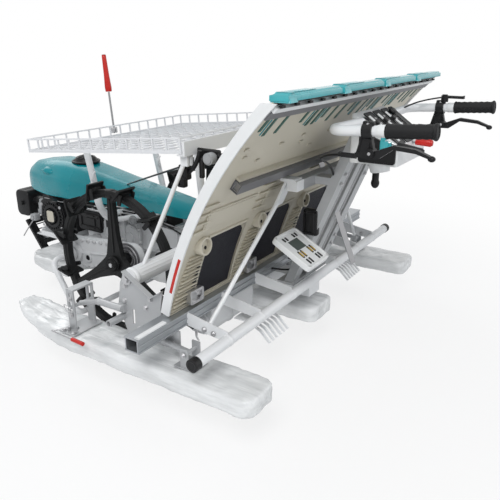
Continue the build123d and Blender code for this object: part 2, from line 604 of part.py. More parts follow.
# Handle column of three channels, its foot plate and its cross arms to the tray's upper guides
column = [block(176, 240, -125, 125, BEAM_Z1, BEAM_Z1 + 10)]
(foot_x, foot_z), (head_x, head_z) = COLUMN_FOOT, COLUMN_HEAD
for y, width in ((95, 50), (0, 40), (-95, 50)):
    column.append(channel_bar((foot_x, y, foot_z), (head_x, y, head_z), width, 30, 2.5))
under_column = block(0, 400, -300, 300, 0, BEAM_Z1)
GUIDE_X0 = 113.0
GUIDE_X1 = 148.0
GUIDE_Z0 = 660.0
GUIDE_Z1 = 692.0
CROSS_HALF = 193.0
cross_arm = block(GUIDE_X0, GUIDE_X1, -CROSS_HALF, CROSS_HALF, GUIDE_Z0, GUIDE_Z1)
column.append(cross_arm - block(GUIDE_X0 + 3, GUIDE_X1 - 3, -250, 250, GUIDE_Z0 + 3, GUIDE_Z1 - 3))
for y in (95, -95):
    column.append(block(48, GUIDE_X0, y - 25, y + 25, GUIDE_Z0 + 4, GUIDE_Z1 - 4))
box_outline = [(-2, 886), (-28, 892), (-150, 806), (-150, 764), (-2, 745)]
control_box = side_plate(box_outline, -BOX_HALF, BOX_HALF)
box_room = offset(make_face(Polyline(*box_outline, close=True)), -BOX_WALL)
box_inside = side_plane(-BOX_HALF + BOX_WALL) * box_room
control_shell = control_box - extrude(box_inside, amount=-2 * (BOX_HALF - BOX_WALL))
nodes["handle_column"] = joined(*column) - under_column - control_box
nodes["control_box"] = control_shell
GATE_Y0 = 125.0
GATE_Y1 = 262.0
gate = side_plate([(178, 511), (45, 436), (56, 417), (189, 492)], GATE_Y0, GATE_Y1)
nodes["lever_gate"] = joined(gate, block(120, 150, 120, GATE_Y0 + 4, 430, 470))

# Stays from the cross arms down to the guard bar's outer plates, and the tray's upper guides
guide_end = CROSS_HALF + SEAT
guide = joined(block(GUIDE_X0, GUIDE_X1, guide_end, guide_end + 44, GUIDE_Z0, GUIDE_Z1),
               block(GUIDE_X0 + 7, GUIDE_X1 + 24, guide_end, guide_end + 44, GUIDE_Z1 - 5, GUIDE_Z1 + 5),
               flat_bar((190, guide_end + 22, 606), (150, guide_end + 22, GUIDE_Z1), 44, 8))
outer_plate = PLATE_YS[2] - PLATE_T / 2 - SEAT
stay = rod((188, 215, 620), (238, outer_plate + 4, 286), 7) - block(200, 280, outer_plate, 600, 240, 340)
nodes["tray_stays"] = pair(joined(guide, stay))

# Handle bars, grips and brake levers
bar_start = Vector(HANDLE_X0, HANDLE_Y, HANDLE_Z0)
line_up = (HANDLE_Z1 - HANDLE_Z0) / (REAR_REACH - HANDLE_X0)


def handle_z(station):
    return HANDLE_Z0 + (station - HANDLE_X0) * line_up


grip_end = REAR_REACH + GRIP_R * abs(line_up) / hypot(1, line_up)
bar_end = grip_end + 4
handle_line = [(-35, BOX_HALF, HANDLE_Z0), (HANDLE_X0, HANDLE_Y, HANDLE_Z0),
               (bar_end, HANDLE_Y, handle_z(bar_end))]
handle = bent_tube(handle_line, 45, HANDLE_R) - bent_tube(handle_line, 45, HANDLE_R - HANDLE_WALL)
nodes["handle_bars"] = pair(handle - block(-60, 60, 0, BOX_HALF, 800, 900))


def on_handle(station):
    return station, HANDLE_Y, handle_z(station)


grip = rod(on_handle(grip_end), on_handle(grip_end + GRIP_L), GRIP_R)
grip -= rod(on_handle(bar_end), on_handle(grip_end + GRIP_L + 20), HANDLE_R)
nodes["grips"] = pair(grip)
bar_line = rod(on_handle(-200), on_handle(-60), HANDLE_R)
clamp = rod(on_handle(-148), on_handle(-122), HANDLE_R + 7)
lever_arm = side_plate([(-124, 862), (-144, 862), (-140, 812), (-120, 810)], HANDLE_Y - 8, HANDLE_Y + 8)
lever_blade = side_plate([(-104, 804), (-104, 816), (-160, 825), (-205, 843), (-262, 838), (-302, 823),
                          (-306, 815), (-262, 828), (-205, 832), (-170, 806)], HANDLE_Y - 8, HANDLE_Y + 8)
nodes["brake_levers"] = pair(joined(clamp, lever_arm, lever_blade) - bar_line)


# Tray: a curved sheet with lane walls, side plates, rails, screens and stoppers
def circle_centre(a, b, c):
    d = 2 * (a[0] * (b[1] - c[1]) + b[0] * (c[1] - a[1]) + c[0] * (a[1] - b[1]))
    sa, sb, sc = (p[0] ** 2 + p[1] ** 2 for p in (a, b, c))
    x = (sa * (b[1] - c[1]) + sb * (c[1] - a[1]) + sc * (a[1] - b[1])) / d
    z = (sa * (c[0] - b[0]) + sb * (a[0] - c[0]) + sc * (b[0] - a[0])) / d
    return x, z


TRAY_C = circle_centre(TRAY_TOP, TRAY_MID, TRAY_FOOT)
TRAY_R = hypot(TRAY_TOP[0] - TRAY_C[0], TRAY_TOP[1] - TRAY_C[1])


def angle_at(z):
    return asin((z - TRAY_C[1]) / TRAY_R)


TOP_ANGLE = angle_at(TRAY_TOP[1])
FOOT_ANGLE = angle_at(TRAY_FOOT[1])


def on_tray(angle, rise):
    r = TRAY_R + rise
    return TRAY_C[0] + r * cos(angle), TRAY_C[1] + r * sin(angle)


def tray_band(rise0, rise1, angle0, angle1, y0, y1):
    middle = (angle0 + angle1) / 2
    inner = ThreePointArc(*(on_tray(a, rise0) for a in (angle0, middle, angle1)))
    outer = ThreePointArc(*(on_tray(a, rise1) for a in (angle0, middle, angle1)))
    ends = [Line(inner @ 0, outer @ 0), Line(inner @ 1, outer @ 1)]
    return extrude(side_plane(y0) * make_face([inner, outer, *ends]), amount=-(y1 - y0))


lane_mids = [-TRAY_W / 2 + ROW_PITCH * (lane + 0.5) for lane in range(ROWS)]
screen_angles = (angle_at(SCREEN_Z0), angle_at(SCREEN_Z1))
sheet = tray_band(0, TRAY_T, FOOT_ANGLE, TOP_ANGLE, -TRAY_W / 2, TRAY_W / 2)
screens = []
for lane_mid in lane_mids:
    y0, y1 = lane_mid + SCREEN_SHIFT - SCREEN_W / 2, lane_mid + SCREEN_SHIFT + SCREEN_W / 2
    sheet -= tray_band(-20, 20, *screen_angles, y0, y1)
    screens.append(tray_band(0.5, 0.5 + SCREEN_T, *screen_angles, y0, y1))
nodes["seedling_tray"] = sheet
nodes["tray_screens"] = several(*screens)
walls = []
for k in range(1, ROWS):
    y = -TRAY_W / 2 + ROW_PITCH * k
    walls.append(tray_band(TRAY_T, WALL_H, FOOT_ANGLE, TOP_ANGLE, y - WALL_T / 2, y + WALL_T / 2))
nodes["lane_walls"] = several(*walls)
plate_foot = angle_at(TRAY_FOOT[1] + 4)
side = tray_band(-8, WALL_H, plate_foot, TOP_ANGLE + 20 / TRAY_R, TRAY_W / 2, TRAY_W / 2 + WALL_T)
above_tray = block(-400, 400, 0, TRAY_W, TRAY_TOP[1], TRAY_TOP[1] + 200)
nodes["tray_side_plates"] = pair(side - above_tray)
nodes["tray_top_rail"] = tray_band(-12, 0, angle_at(926), angle_at(944), -TRAY_W / 2, TRAY_W / 2)
channel_angles = (angle_at(CHANNEL_Z0), angle_at(CHANNEL_Z1))
inset = CHANNEL_WALL / TRAY_R
channel = tray_band(-CHANNEL_D, 0, *channel_angles, -CHANNEL_HALF, CHANNEL_HALF)
inside_angles = (channel_angles[0] + inset, channel_angles[1] - inset)
channel_room = tray_band(CHANNEL_WALL - CHANNEL_D, -CHANNEL_WALL, *inside_angles, -TRAY_W, TRAY_W)
nodes["tray_channel"] = channel - channel_room
stoppers = []
top_x, top_z = on_tray(TOP_ANGLE, 0)
for lane in range(ROWS):
    y = -TRAY_W / 2 + ROW_PITCH * lane
    outline = [(top_x, top_z), (top_x - 30, top_z + 22), (top_x - 18, top_z + 32), on_tray(TOP_ANGLE, WALL_H)]
    stoppers.append(side_plate(outline, y + 4, y + ROW_PITCH - 4))
nodes["tray_stoppers"] = several(*stoppers)

# Front stand: a loop that turns in the base's saddles, its foot bar on the floor
foot_z = STAND_R
stand_points = [(STAND_X, BASE_RAIL_Y - 20, STAND_Z), (STAND_X, STAND_HALF, STAND_Z),
                (STAND_FOOT_X, STAND_HALF, foot_z), (STAND_FOOT_X, -STAND_HALF, foot_z),
                (STAND_X, -STAND_HALF, STAND_Z), (STAND_X, -BASE_RAIL_Y + 20, STAND_Z)]
nodes["front_stand"] = bent_tube(stand_points, 36, STAND_R)

# Side markers: a wire arm folded along the float, with a round tip
along = (Vector(*MARKER_END) - Vector(*MARKER_BEND)).normalized()
tip_start = Vector(*MARKER_END) + along * SEAT
pin_z = FOOT_Z + FOOT_T + SEAT
wire = joined(rod((MARKER_X, MARKER_Y, pin_z), (MARKER_X, MARKER_Y, MARKER_Z + 6), 5),
              rod((MARKER_X, MARKER_Y, MARKER_Z), MARKER_BEND, 2.5), rod(MARKER_BEND, MARKER_END, 2.5),
              Pos(*MARKER_BEND) * Sphere(2.5))
tip = rod(tuple(tip_start), tuple(tip_start + along * TIP_L), 6.5)
nodes["side_marker_left"] = wire
nodes["side_marker_right"] = mirrored(wire)
nodes["marker_tip_left"] = tip
nodes["marker_tip_right"] = mirrored(tip)

os.makedirs("parts", exist_ok=True)
for node, shape in nodes.items():
    placed = Pos(-MIDDLE, 0, 0) * shape
    export_step(placed, "parts/" + node + ".step")
    box = placed.bounding_box()
    print(f"{node:20s} {box.min.X:8.1f} {box.max.X:8.1f} {box.min.Y:8.1f} {box.max.Y:8.1f}"
          f" {box.min.Z:8.1f} {box.max.Z:8.1f}")
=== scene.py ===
# %% [markdown]
# # A walk-behind rice transplanter, dressed for a studio picture
# The machine's solids are already exact, so this lesson keeps them as its frame and adds what
# makes them look real: finishes, moulded detail, fasteners and the small parts of the engine.
# Everything is in metres. The front is +X, the machine's left is +Y, and +Z is up.

# %% Load the solids
import bpy
import bmesh
from math import asin, cos, degrees, hypot, radians, sin
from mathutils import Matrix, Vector


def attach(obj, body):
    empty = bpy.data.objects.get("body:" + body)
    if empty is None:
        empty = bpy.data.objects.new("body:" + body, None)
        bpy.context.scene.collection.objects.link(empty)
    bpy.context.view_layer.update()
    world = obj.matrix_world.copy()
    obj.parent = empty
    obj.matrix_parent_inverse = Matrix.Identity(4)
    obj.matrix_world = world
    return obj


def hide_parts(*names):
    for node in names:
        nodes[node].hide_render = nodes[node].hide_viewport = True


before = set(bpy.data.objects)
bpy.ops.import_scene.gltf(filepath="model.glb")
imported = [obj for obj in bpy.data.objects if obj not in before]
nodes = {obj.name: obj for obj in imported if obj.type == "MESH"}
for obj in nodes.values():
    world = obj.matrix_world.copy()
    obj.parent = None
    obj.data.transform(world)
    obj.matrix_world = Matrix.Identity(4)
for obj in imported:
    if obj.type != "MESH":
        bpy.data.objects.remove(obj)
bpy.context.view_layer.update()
print(len(nodes), "solids loaded")

# %% [markdown]
# Places on the machine are easiest to read as drawing sizes: millimetres forward from the side
# floats' rear ends, to the left of the middle, and up from the floor. One small function turns
# such a place into the scene's metres.

# %% Places
MIDDLE = 698.5


def at(station, left, height):
    return Vector(((station - MIDDLE) / 1000, left / 1000, height / 1000))


print("the wheel axle is at", at(840, 300, 299.6))

# %% [markdown]
# ## The camera
# The picture was taken from behind and to the left, a little above the handles. The camera
# stands there and looks forward and to the right, 20 degrees down.

# %% Camera
camera_pitch = radians(19.95)
camera_heading = radians(-57.19)
camera_data = bpy.data.cameras.new("camera")
camera_data.lens = 41.46
camera_data.sensor_width = 36
camera = bpy.data.objects.new("camera", camera_data)
bpy.context.scene.collection.objects.link(camera)
camera.location = (-1.3815, 1.732, 1.088)
look = Vector((cos(camera_heading) * cos(camera_pitch), sin(camera_heading) * cos(camera_pitch),
               -sin(camera_pitch)))
camera.rotation_euler = look.to_track_quat("-Z", "Y").to_euler()
bpy.context.scene.camera = camera
print("camera looks along", [round(v, 3) for v in look])

# %% [markdown]
# ## The studio
# Three large lamps and a pale sky light the machine softly. The floor is a plain pale sheet that
# keeps the shadow, and rays that come straight from the camera see the sky as white.

# %% Lamps, sky and floor
bpy.context.scene.view_settings.view_transform = "Standard"


def lamp(name, place, target, size, watts):
    light = bpy.data.lights.new(name, "AREA")
    light.size = size
    light.energy = watts
    thing = bpy.data.objects.new(name, light)
    bpy.context.scene.collection.objects.link(thing)
    thing.location = place
    thing.rotation_euler = (Vector(target) - Vector(place)).to_track_quat("-Z", "Y").to_euler()


lamp("key_lamp", (-1.6, 3.0, 3.4), (0, 0, 0.4), 1.8, 92)
lamp("fill_lamp", (-3.2, -1.6, 1.8), (0, 0, 0.4), 2.6, 15)
lamp("rim_lamp", (3.0, -0.6, 2.8), (0, 0, 0.4), 2.2, 38)

world = bpy.data.worlds.new("studio_sky")
bpy.context.scene.world = world
world.use_nodes = True
sky = world.node_tree.nodes["Background"]
rays = world.node_tree.nodes.new("ShaderNodeLightPath")
plain_sky = world.node_tree.nodes.new("ShaderNodeBackground")
plain_sky.inputs["Color"].default_value = (0.93, 0.96, 1.0, 1)
plain_sky.inputs["Strength"].default_value = 0.5
sky.inputs["Color"].default_value = (1, 1, 1, 1)
sky.inputs["Strength"].default_value = 1.0
sky_mix = world.node_tree.nodes.new("ShaderNodeMixShader")
seen = world.node_tree.nodes.new("ShaderNodeMath")
seen.operation = "MAXIMUM"
world.node_tree.links.new(rays.outputs["Is Camera Ray"], seen.inputs[0])
world.node_tree.links.new(rays.outputs["Is Glossy Ray"], seen.inputs[1])
world.node_tree.links.new(seen.outputs[0], sky_mix.inputs["Fac"])
world.node_tree.links.new(plain_sky.outputs[0], sky_mix.inputs[1])
world.node_tree.links.new(sky.outputs[0], sky_mix.inputs[2])
world.node_tree.links.new(sky_mix.outputs[0], world.node_tree.nodes["World Output"].inputs["Surface"])
print("studio lit by 3 lamps and a sky")

# %% [markdown]
# ## Shader sums written as sums
# A finish is mostly arithmetic on patterns. The class below wraps a node's output, so that
# `1 - dust * 0.4` adds its Math nodes by itself. `Finish.node` adds every other kind of node.


# %% A socket that can be added and multiplied
class Value:
    def __init__(self, finish, socket):
        self.finish = finish
        self.socket = socket

    def sum(self, operation, *others):
        node = self.finish.tree.nodes.new("ShaderNodeMath")
        node.operation = operation
        for slot, value in enumerate((self,) + others):
            self.finish.feed(node.inputs[slot], value)
        return Value(self.finish, node.outputs[0])

    def __add__(self, other): return self.sum("ADD", other)
    def __radd__(self, other): return self.sum("ADD", other)
    def __mul__(self, other): return self.sum("MULTIPLY", other)
    def __rmul__(self, other): return self.sum("MULTIPLY", other)
    def __sub__(self, other): return self.sum("SUBTRACT", other)
    def __neg__(self): return self.sum("MULTIPLY", -1.0)
    def __rsub__(self, other): return (-self) + other
    def __truediv__(self, other): return self.sum("DIVIDE", other)
    def __pow__(self, other): return self.sum("POWER", other)
    def __gt__(self, other): return self.sum("GREATER_THAN", other)
    def __lt__(self, other): return self.sum("LESS_THAN", other)
    def wave(self): return self.sum("SINE")
    def size(self): return self.sum("ABSOLUTE")
    def least(self, other): return self.sum("MINIMUM", other)


class Finish:
    def __init__(self, name):
        self.material = bpy.data.materials.new(name)
        self.material.use_nodes = True
        self.tree = self.material.node_tree
        self.tree.nodes.clear()
        output = self.tree.nodes.new("ShaderNodeOutputMaterial")
        self.shader = self.tree.nodes.new("ShaderNodeBsdfPrincipled")
        self.tree.links.new(self.shader.outputs[0], output.inputs["Surface"])
        self.output = output

    def feed(self, socket, value):
        if isinstance(value, Value):
            self.tree.links.new(value.socket, socket)
        else:
            socket.default_value = value

    def node(self, kind, settings=None, out=0, **values):
        node = self.tree.nodes.new("ShaderNode" + kind)
        for key, value in (settings or {}).items():
            if key == "ramp":
                stops = node.color_ramp.elements
                while len(stops) < len(value):
                    stops.new(0.5)
                for stop, (place, shade) in zip(stops, value):
                    stop.position = place
                    stop.color = shade
            else:
                setattr(node, key, value)
        for key, value in values.items():
            key = key.replace("_", " ")
            spot = int(key[3:]) if key.startswith("in ") else key
            self.feed(node.inputs[spot], value)
        return Value(self, node.outputs[out])

    def set(self, **values):
        for key, value in values.items():
            self.feed(self.shader.inputs[key.replace("_", " ")], value)
        return self

    def place(self, scale=(1, 1, 1), turn=(0, 0, 0)):
        here = self.node("TexCoord", out="Object")
        return self.node("Mapping", Vector=here, Scale=scale, Rotation=turn)

    def noise(self, scale, detail=3.0, rough=0.55, stretch=(1, 1, 1)):
        return self.node("TexNoise", Vector=self.place(stretch), Scale=scale, Detail=detail, Roughness=rough)

    def cells(self, scale, stretch=(1, 1, 1), feature="F1"):
        return self.node("TexVoronoi", {"feature": feature}, Vector=self.place(stretch), Scale=scale)

    def blend(self, factor, one, other):
        return self.node("Mix", {"data_type": "RGBA"}, out=2, Factor=factor, in_6=one, in_7=other)

    def soft_edges(self, radius=0.0012):
        return self.node("Bevel", {"samples": 4}, Radius=radius)

    def relief(self, height, strength, distance=0.001, base=None):
        values = {"Height": height, "Strength": strength, "Distance": distance}
        if base is not None:
            values["Normal"] = base
        return self.node("Bump", **values)


print("shader helpers ready")

# %% [markdown]
# ## Finishes
# Nearly every finish starts the same way: a colour that drifts a little over the surface, a
# roughness that drifts with it, a fine relief, and edges rounded by a millimetre, because no real
# edge is sharp. What is special about each one is then added to that.


# %% The common ground of all finishes
def shade(red, green, blue):
    return (red, green, blue, 1.0)


def darker(colour, amount):
    return tuple(c * (1 - amount) for c in colour[:3]) + (1.0,)


def finish(name, colour, rough=0.4, drift=0.08, relief=0.1, grain=260.0, edge=0.0012, metal=0.0, coat=0.0,
           shine=0.5):
    made = Finish(name)
    cloud = made.noise(5.5, 4.0)
    colour_now = made.blend(cloud, darker(colour, drift), colour)
    made.set(Base_Color=colour_now, Roughness=rough - 0.1 + 0.2 * cloud, Metallic=metal, Coat_Weight=coat)
    made.set(Specular_IOR_Level=shine)
    made.name = name
    made.base = colour_now
    made.cloud = cloud
    made.edges = made.soft_edges(edge)
    made.set(Normal=made.relief(made.noise(grain, 2.0), relief, 0.0006, made.edges))
    return made


white_paint = finish("white_paint", shade(0.80, 0.81, 0.82), rough=0.34, drift=0.05, relief=0.08, coat=0.15)
white_wire = finish("white_wire", shade(0.80, 0.81, 0.83), rough=0.38, drift=0.06, relief=0.1, edge=0.0016)
cast_white = finish("cast_white", shade(0.70, 0.71, 0.72), rough=0.5, drift=0.2, relief=0.5, grain=420,
                    edge=0.002)
grey_cast = finish("grey_cast", shade(0.40, 0.41, 0.42), rough=0.46, drift=0.3, relief=0.55, grain=380,
                   edge=0.002)
black_cast = finish("black_cast", shade(0.012, 0.012, 0.013), rough=0.42, drift=0.35, relief=0.45, grain=380,
                    shine=0.3)
black_paint = finish("black_paint", shade(0.010, 0.010, 0.011), rough=0.34, drift=0.35, relief=0.12,
                     shine=0.32)
black_plastic = finish("black_plastic", shade(0.011, 0.011, 0.012), rough=0.40, drift=0.35, relief=0.25,
                       grain=700, shine=0.28)
wheel_rubber = finish("wheel_rubber", shade(0.009, 0.0095, 0.010), rough=0.5, drift=0.4, relief=0.3,
                      edge=0.003, shine=0.25)
grip_rubber = finish("grip_rubber", shade(0.013, 0.013, 0.014), rough=0.6, drift=0.3, relief=0.3, shine=0.25)
teal_plastic = finish("teal_plastic", shade(0.0, 0.275, 0.32), rough=0.3, drift=0.2, relief=0.05, coat=0.15,
                      shine=0.3)
cream_plastic = finish("cream_plastic", shade(0.60, 0.56, 0.46), rough=0.46, drift=0.12, relief=0.12,
                       coat=0.1)
white_plastic = finish("white_plastic", shade(0.80, 0.81, 0.81), rough=0.36, drift=0.06, relief=0.08,
                       coat=0.2)
red_plastic = finish("red_plastic", shade(0.60, 0.02, 0.012), rough=0.32, drift=0.2, relief=0.06, coat=0.1,
                     shine=0.3)
grey_steel = finish("grey_steel", shade(0.40, 0.40, 0.41), rough=0.34, drift=0.25, relief=0.18, metal=0.85)
zinc = finish("zinc", shade(0.62, 0.62, 0.63), rough=0.34, drift=0.25, relief=0.2, metal=0.9, edge=0.0006)
galvanised = finish("galvanised", shade(0.52, 0.53, 0.54), rough=0.4, drift=0.3, relief=0.2, metal=0.35)
dark_steel = finish("dark_steel", shade(0.17, 0.17, 0.18), rough=0.36, drift=0.3, relief=0.3, metal=0.6)
stopper_teal = finish("stopper_teal", shade(0.05, 0.42, 0.46), rough=0.24, drift=0.2, relief=0.05, coat=0.5)
brass = finish("brass", shade(0.60, 0.42, 0.12), rough=0.32, drift=0.2, relief=0.15, metal=0.9)
dark_pane = finish("dark_pane", shade(0.10, 0.12, 0.11), rough=0.2, drift=0.15, relief=0.05)
rail_grey = finish("rail_grey", shade(0.20, 0.20, 0.21), rough=0.4, drift=0.25, relief=0.15, metal=0.35)
green_strip = finish("green_strip", shade(0.004, 0.085, 0.06), rough=0.4, drift=0.2, relief=0.1)
print(len(bpy.data.materials), "finishes")

# %% [markdown]
# ### Finishes that need more
# The floats leave the factory wrapped in clear film, so their white shows under creased gloss:
# the creases are the edges of stretched cells. The screens are woven black net. The guide rail
# is drawn aluminium with fine lines along it.

# %% Film, net and drawn metal
float_film = finish("float_film", shade(0.78, 0.79, 0.79), rough=0.24, drift=0.1, relief=0.1, coat=0.3,
                    edge=0.004)
creases = float_film.cells(20.0, (0.2, 1.4, 1.2), "DISTANCE_TO_EDGE")
folds = float_film.noise(13.0, 6.0, 0.65, (0.3, 1.6, 1.4))
streaks = float_film.noise(30.0, 4.0, 0.6, (0.12, 1.0, 1.0))
crumple = (creases.least(0.1) * 2.0) + folds * 1.0 + streaks * 0.5
# The film's colour darkens to grey where the folds and streaks are low: painted shade in the film's creases.
float_film.set(Base_Color=float_film.blend(streaks * folds * 3.2, shade(0.50, 0.51, 0.51),
                                           shade(0.84, 0.85, 0.85)))
float_film.set(Normal=float_film.relief(crumple, 0.55, 0.004, float_film.edges))

screen_net = finish("screen_net", shade(0.012, 0.012, 0.016), rough=0.55, drift=0.5, relief=0.1, shine=0.2)
over = screen_net.node("SeparateXYZ", Vector=screen_net.place((1, 1, 1)), out="Y")
up = screen_net.node("SeparateXYZ", Vector=screen_net.place((1, 1, 1)), out="Z")
weave = (over * 1500.0).wave() * (up * 1500.0).wave()
mottle = screen_net.noise(34.0, 5.0, 0.7)
screen_net.set(Base_Color=screen_net.blend(mottle, shade(0.003, 0.003, 0.005), shade(0.024, 0.024, 0.034)),
               Normal=screen_net.relief(weave, 0.35, 0.0006, screen_net.edges))

drawn_aluminium = finish("drawn_aluminium", shade(0.44, 0.46, 0.48), rough=0.34, drift=0.16, relief=0.1,
                         metal=0.8)
lines = drawn_aluminium.noise(60.0, 2.0, 0.5, (14.0, 0.25, 14.0))
drawn_aluminium.set(Normal=drawn_aluminium.relief(lines, 0.2, 0.0008, drawn_aluminium.edges))
hood_film = finish("hood_film", shade(0.0, 0.275, 0.32), rough=0.26, drift=0.22, relief=0.05, coat=0.4,
                   shine=0.4)
pulls = hood_film.noise(24.0, 7.0, 0.72, (0.3, 1.0, 1.8))
patchy = hood_film.noise(2.6, 2.0, 0.5)
wrap = hood_film.node("MapRange", Value=patchy, From_Min=0.42, From_Max=0.62)
# Where the film lies, the teal is lightened toward pale cyan along the pulled streaks: painted highlights on
# the film.
painted_glints = hood_film.node("MapRange", Value=pulls, From_Min=0.58, From_Max=0.74)
hood_film.set(Base_Color=hood_film.blend(painted_glints * wrap * 0.55, hood_film.base, shade(0.42, 0.70, 0.74)))
hood_film.set(Normal=hood_film.relief(pulls * wrap, 0.8, 0.007, hood_film.edges), Coat_Weight=wrap * 0.8)
print("films, net and drawn metal ready")

# %% [markdown]
# ## Shaping a piece by hand
# New pieces start as a primitive of the right size in the right place and are then shaped in
# edit mode: pick faces or edges by where they are or which way they look, and inset, push, grow
# or round them. `Piece` keeps those steps in a row. Its places are in the same millimetres.


# %% Picking, pushing and rounding
def runs(axis):
    """edges along an axis, or faces that look either way along it"""
    k = "xyz".index(axis)
    return lambda spot, way: abs(way[k]) > 0.9


def looks(axis):
    """faces that look along an axis, such as "y" or "-y" only"""
    k = "xyz".index(axis[-1])
    sign = -1 if axis[0] == "-" else 1
    return lambda spot, way: sign * way[k] > 0.9


def every(spot, way):
    return True


def mm(point):
    return Vector((point.x * 1000 + MIDDLE, point.y * 1000, point.z * 1000))


class Piece:
    def __init__(self, name):
        self.thing = bpy.context.object
        self.thing.name = name
        bpy.ops.object.transform_apply(location=True, rotation=True, scale=True)
        bpy.ops.object.mode_set(mode="EDIT")
        bpy.ops.mesh.select_all(action="DESELECT")

    def pick(self, kind, test):
        bpy.ops.mesh.select_mode(type=kind)
        bpy.ops.mesh.select_all(action="DESELECT")
        shape = bmesh.from_edit_mesh(self.thing.data)
        for part in (shape.faces if kind == "FACE" else shape.edges):
            if kind == "FACE":
                part.select_set(bool(test(mm(part.calc_center_median()), part.normal)))
            else:
                ends = [corner.co for corner in part.verts]
                if test(mm((ends[0] + ends[1]) / 2), (ends[1] - ends[0]).normalized()):
                    part.select_set(True)
        shape.select_flush_mode()
        bmesh.update_edit_mesh(self.thing.data)
        return self

    def faces(self, test): return self.pick("FACE", test)
    def edges(self, test): return self.pick("EDGE", test)

    def all(self):
        bpy.ops.mesh.select_all(action="SELECT")
        return self

    def inset(self, width, each=False):
        bpy.ops.mesh.inset(thickness=width / 1000, use_individual=each)
        return self

    def push(self, dx, dy, dz):
        bpy.ops.mesh.extrude_region_move(TRANSFORM_OT_translate={"value": (dx / 1000, dy / 1000, dz / 1000)})
        return self

    def swell(self, height):
        bpy.ops.mesh.extrude_region_shrink_fatten(TRANSFORM_OT_shrink_fatten={"value": height / 1000})
        return self

    def move(self, dx, dy, dz):
        bpy.ops.transform.translate(value=(dx / 1000, dy / 1000, dz / 1000))
        return self

    def grow(self, across, along, up, about=None):
        middle = {"center_override": at(*about)} if about else {}
        bpy.ops.transform.resize(value=(across, along, up), **middle)
        return self

    def turn(self, angle, axis, about):
        bpy.ops.transform.rotate(value=radians(angle), orient_axis=axis, center_override=at(*about))
        return self

    def round(self, width, segments=2):
        bpy.ops.mesh.bevel(offset=width / 1000, segments=segments, affect="EDGES")
        return self

    def cut(self, place, normal):
        bpy.ops.mesh.bisect(plane_co=at(*place), plane_no=normal)
        return self

    def trim(self, place, normal):
        bpy.ops.mesh.bisect(plane_co=at(*place), plane_no=normal, clear_outer=True, use_fill=True)
        return self

    def split(self, cuts):
        bpy.ops.mesh.subdivide(number_cuts=cuts)
        return self

    def remove(self):
        bpy.ops.mesh.delete(type="FACE")
        return self

    def done(self, coat=None, body=None, slot=None, angle=38):
        bpy.ops.mesh.select_all(action="SELECT")
        bpy.ops.mesh.normals_make_consistent(inside=False)
        bpy.ops.object.mode_set(mode="OBJECT")
        bpy.ops.object.shade_smooth_by_angle(angle=radians(angle))
        return settle(self.thing, coat, body, slot)


# Finishes that go by another material's slot; every other finish has a slot of its own name. settle looks the
# slot up but keeps it nowhere.
shared_slots = {
    "zinc": "grey_steel", "dark_steel": "grey_steel", "brass": "grey_steel", "dark_pane": "grey_steel",
    "stopper_teal": "teal_plastic", "green_strip": "teal_plastic", "hood_film": "teal_plastic",
    "black_paint": "black_steel", "drawn_aluminium": "cast_white",
}


def settle(thing, coat, body, slot=None):
    if coat is not None:
        slot = slot or shared_slots.get(coat.name, coat.name)
        thing.data.materials.clear()
        thing.data.materials.append(coat.material)
    if body is not None:
        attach(thing, body)
    return thing


def only(thing):
    bpy.ops.object.select_all(action="DESELECT")
    thing.select_set(True)
    bpy.context.view_layer.objects.active = thing


def box(name, x0, x1, y0, y1, z0, z1):
    bpy.ops.object.select_all(action="DESELECT")
    bpy.ops.mesh.primitive_cube_add(size=1, location=at((x0 + x1) / 2, (y0 + y1) / 2, (z0 + z1) / 2))
    bpy.context.object.scale = (abs(x1 - x0) / 1000, abs(y1 - y0) / 1000, abs(z1 - z0) / 1000)
    return Piece(name)


def tube(name, start, end, radius, sides=20, far=None):
    bpy.ops.object.select_all(action="DESELECT")
    run = at(*end) - at(*start)
    turn = run.to_track_quat("Z", "Y").to_euler()
    bpy.ops.mesh.primitive_cone_add(vertices=sides, radius1=radius / 1000,
                                    radius2=(radius if far is None else far) / 1000, depth=run.length,
                                    location=(at(*start) + at(*end)) / 2, rotation=turn)
    return Piece(name)


def ring(name, middle, axis, radius, thick, sides=32, fine=10):
    bpy.ops.object.select_all(action="DESELECT")
    turn = Vector(axis).to_track_quat("Z", "Y").to_euler()
    bpy.ops.mesh.primitive_torus_add(major_radius=radius / 1000, minor_radius=thick / 1000,
                                     location=at(*middle),
                                     rotation=turn, major_segments=sides, minor_segments=fine)
    return Piece(name)


def ball(name, middle, radius, rows=12):
    bpy.ops.object.select_all(action="DESELECT")
    bpy.ops.mesh.primitive_uv_sphere_add(radius=radius / 1000, location=at(*middle), segments=rows * 2,
                                         ring_count=rows)
    return Piece(name)


def wire(name, points, radius, coat=None, body=None, slot=None, order=3, fine=6):
    bpy.ops.object.select_all(action="DESELECT")
    line = bpy.data.curves.new(name, "CURVE")
    line.dimensions = "3D"
    run = line.splines.new("NURBS")
    run.points.add(len(points) - 1)
    for spot, point in zip(run.points, points):
        spot.co = (*at(*point), 1)
    run.order_u = order
    run.use_endpoint_u = True
    line.resolution_u = fine
    line.bevel_depth = radius / 1000
    line.bevel_resolution = 3
    line.use_fill_caps = True
    thing = bpy.data.objects.new(name, line)
    bpy.context.scene.collection.objects.link(thing)
    only(thing)
    bpy.ops.object.convert(target="MESH")
    thing = bpy.context.object
    bpy.ops.object.shade_smooth_by_angle(angle=radians(50))
    return settle(thing, coat, body, slot)


def again(thing, name, dx=0, dy=0, dz=0):
    only(thing)
    bpy.ops.object.duplicate()
    copy = bpy.context.object
    copy.name = name
    copy.location = (dx / 1000, dy / 1000, dz / 1000)
    bpy.ops.object.transform_apply(location=True, rotation=True, scale=True)
    return copy


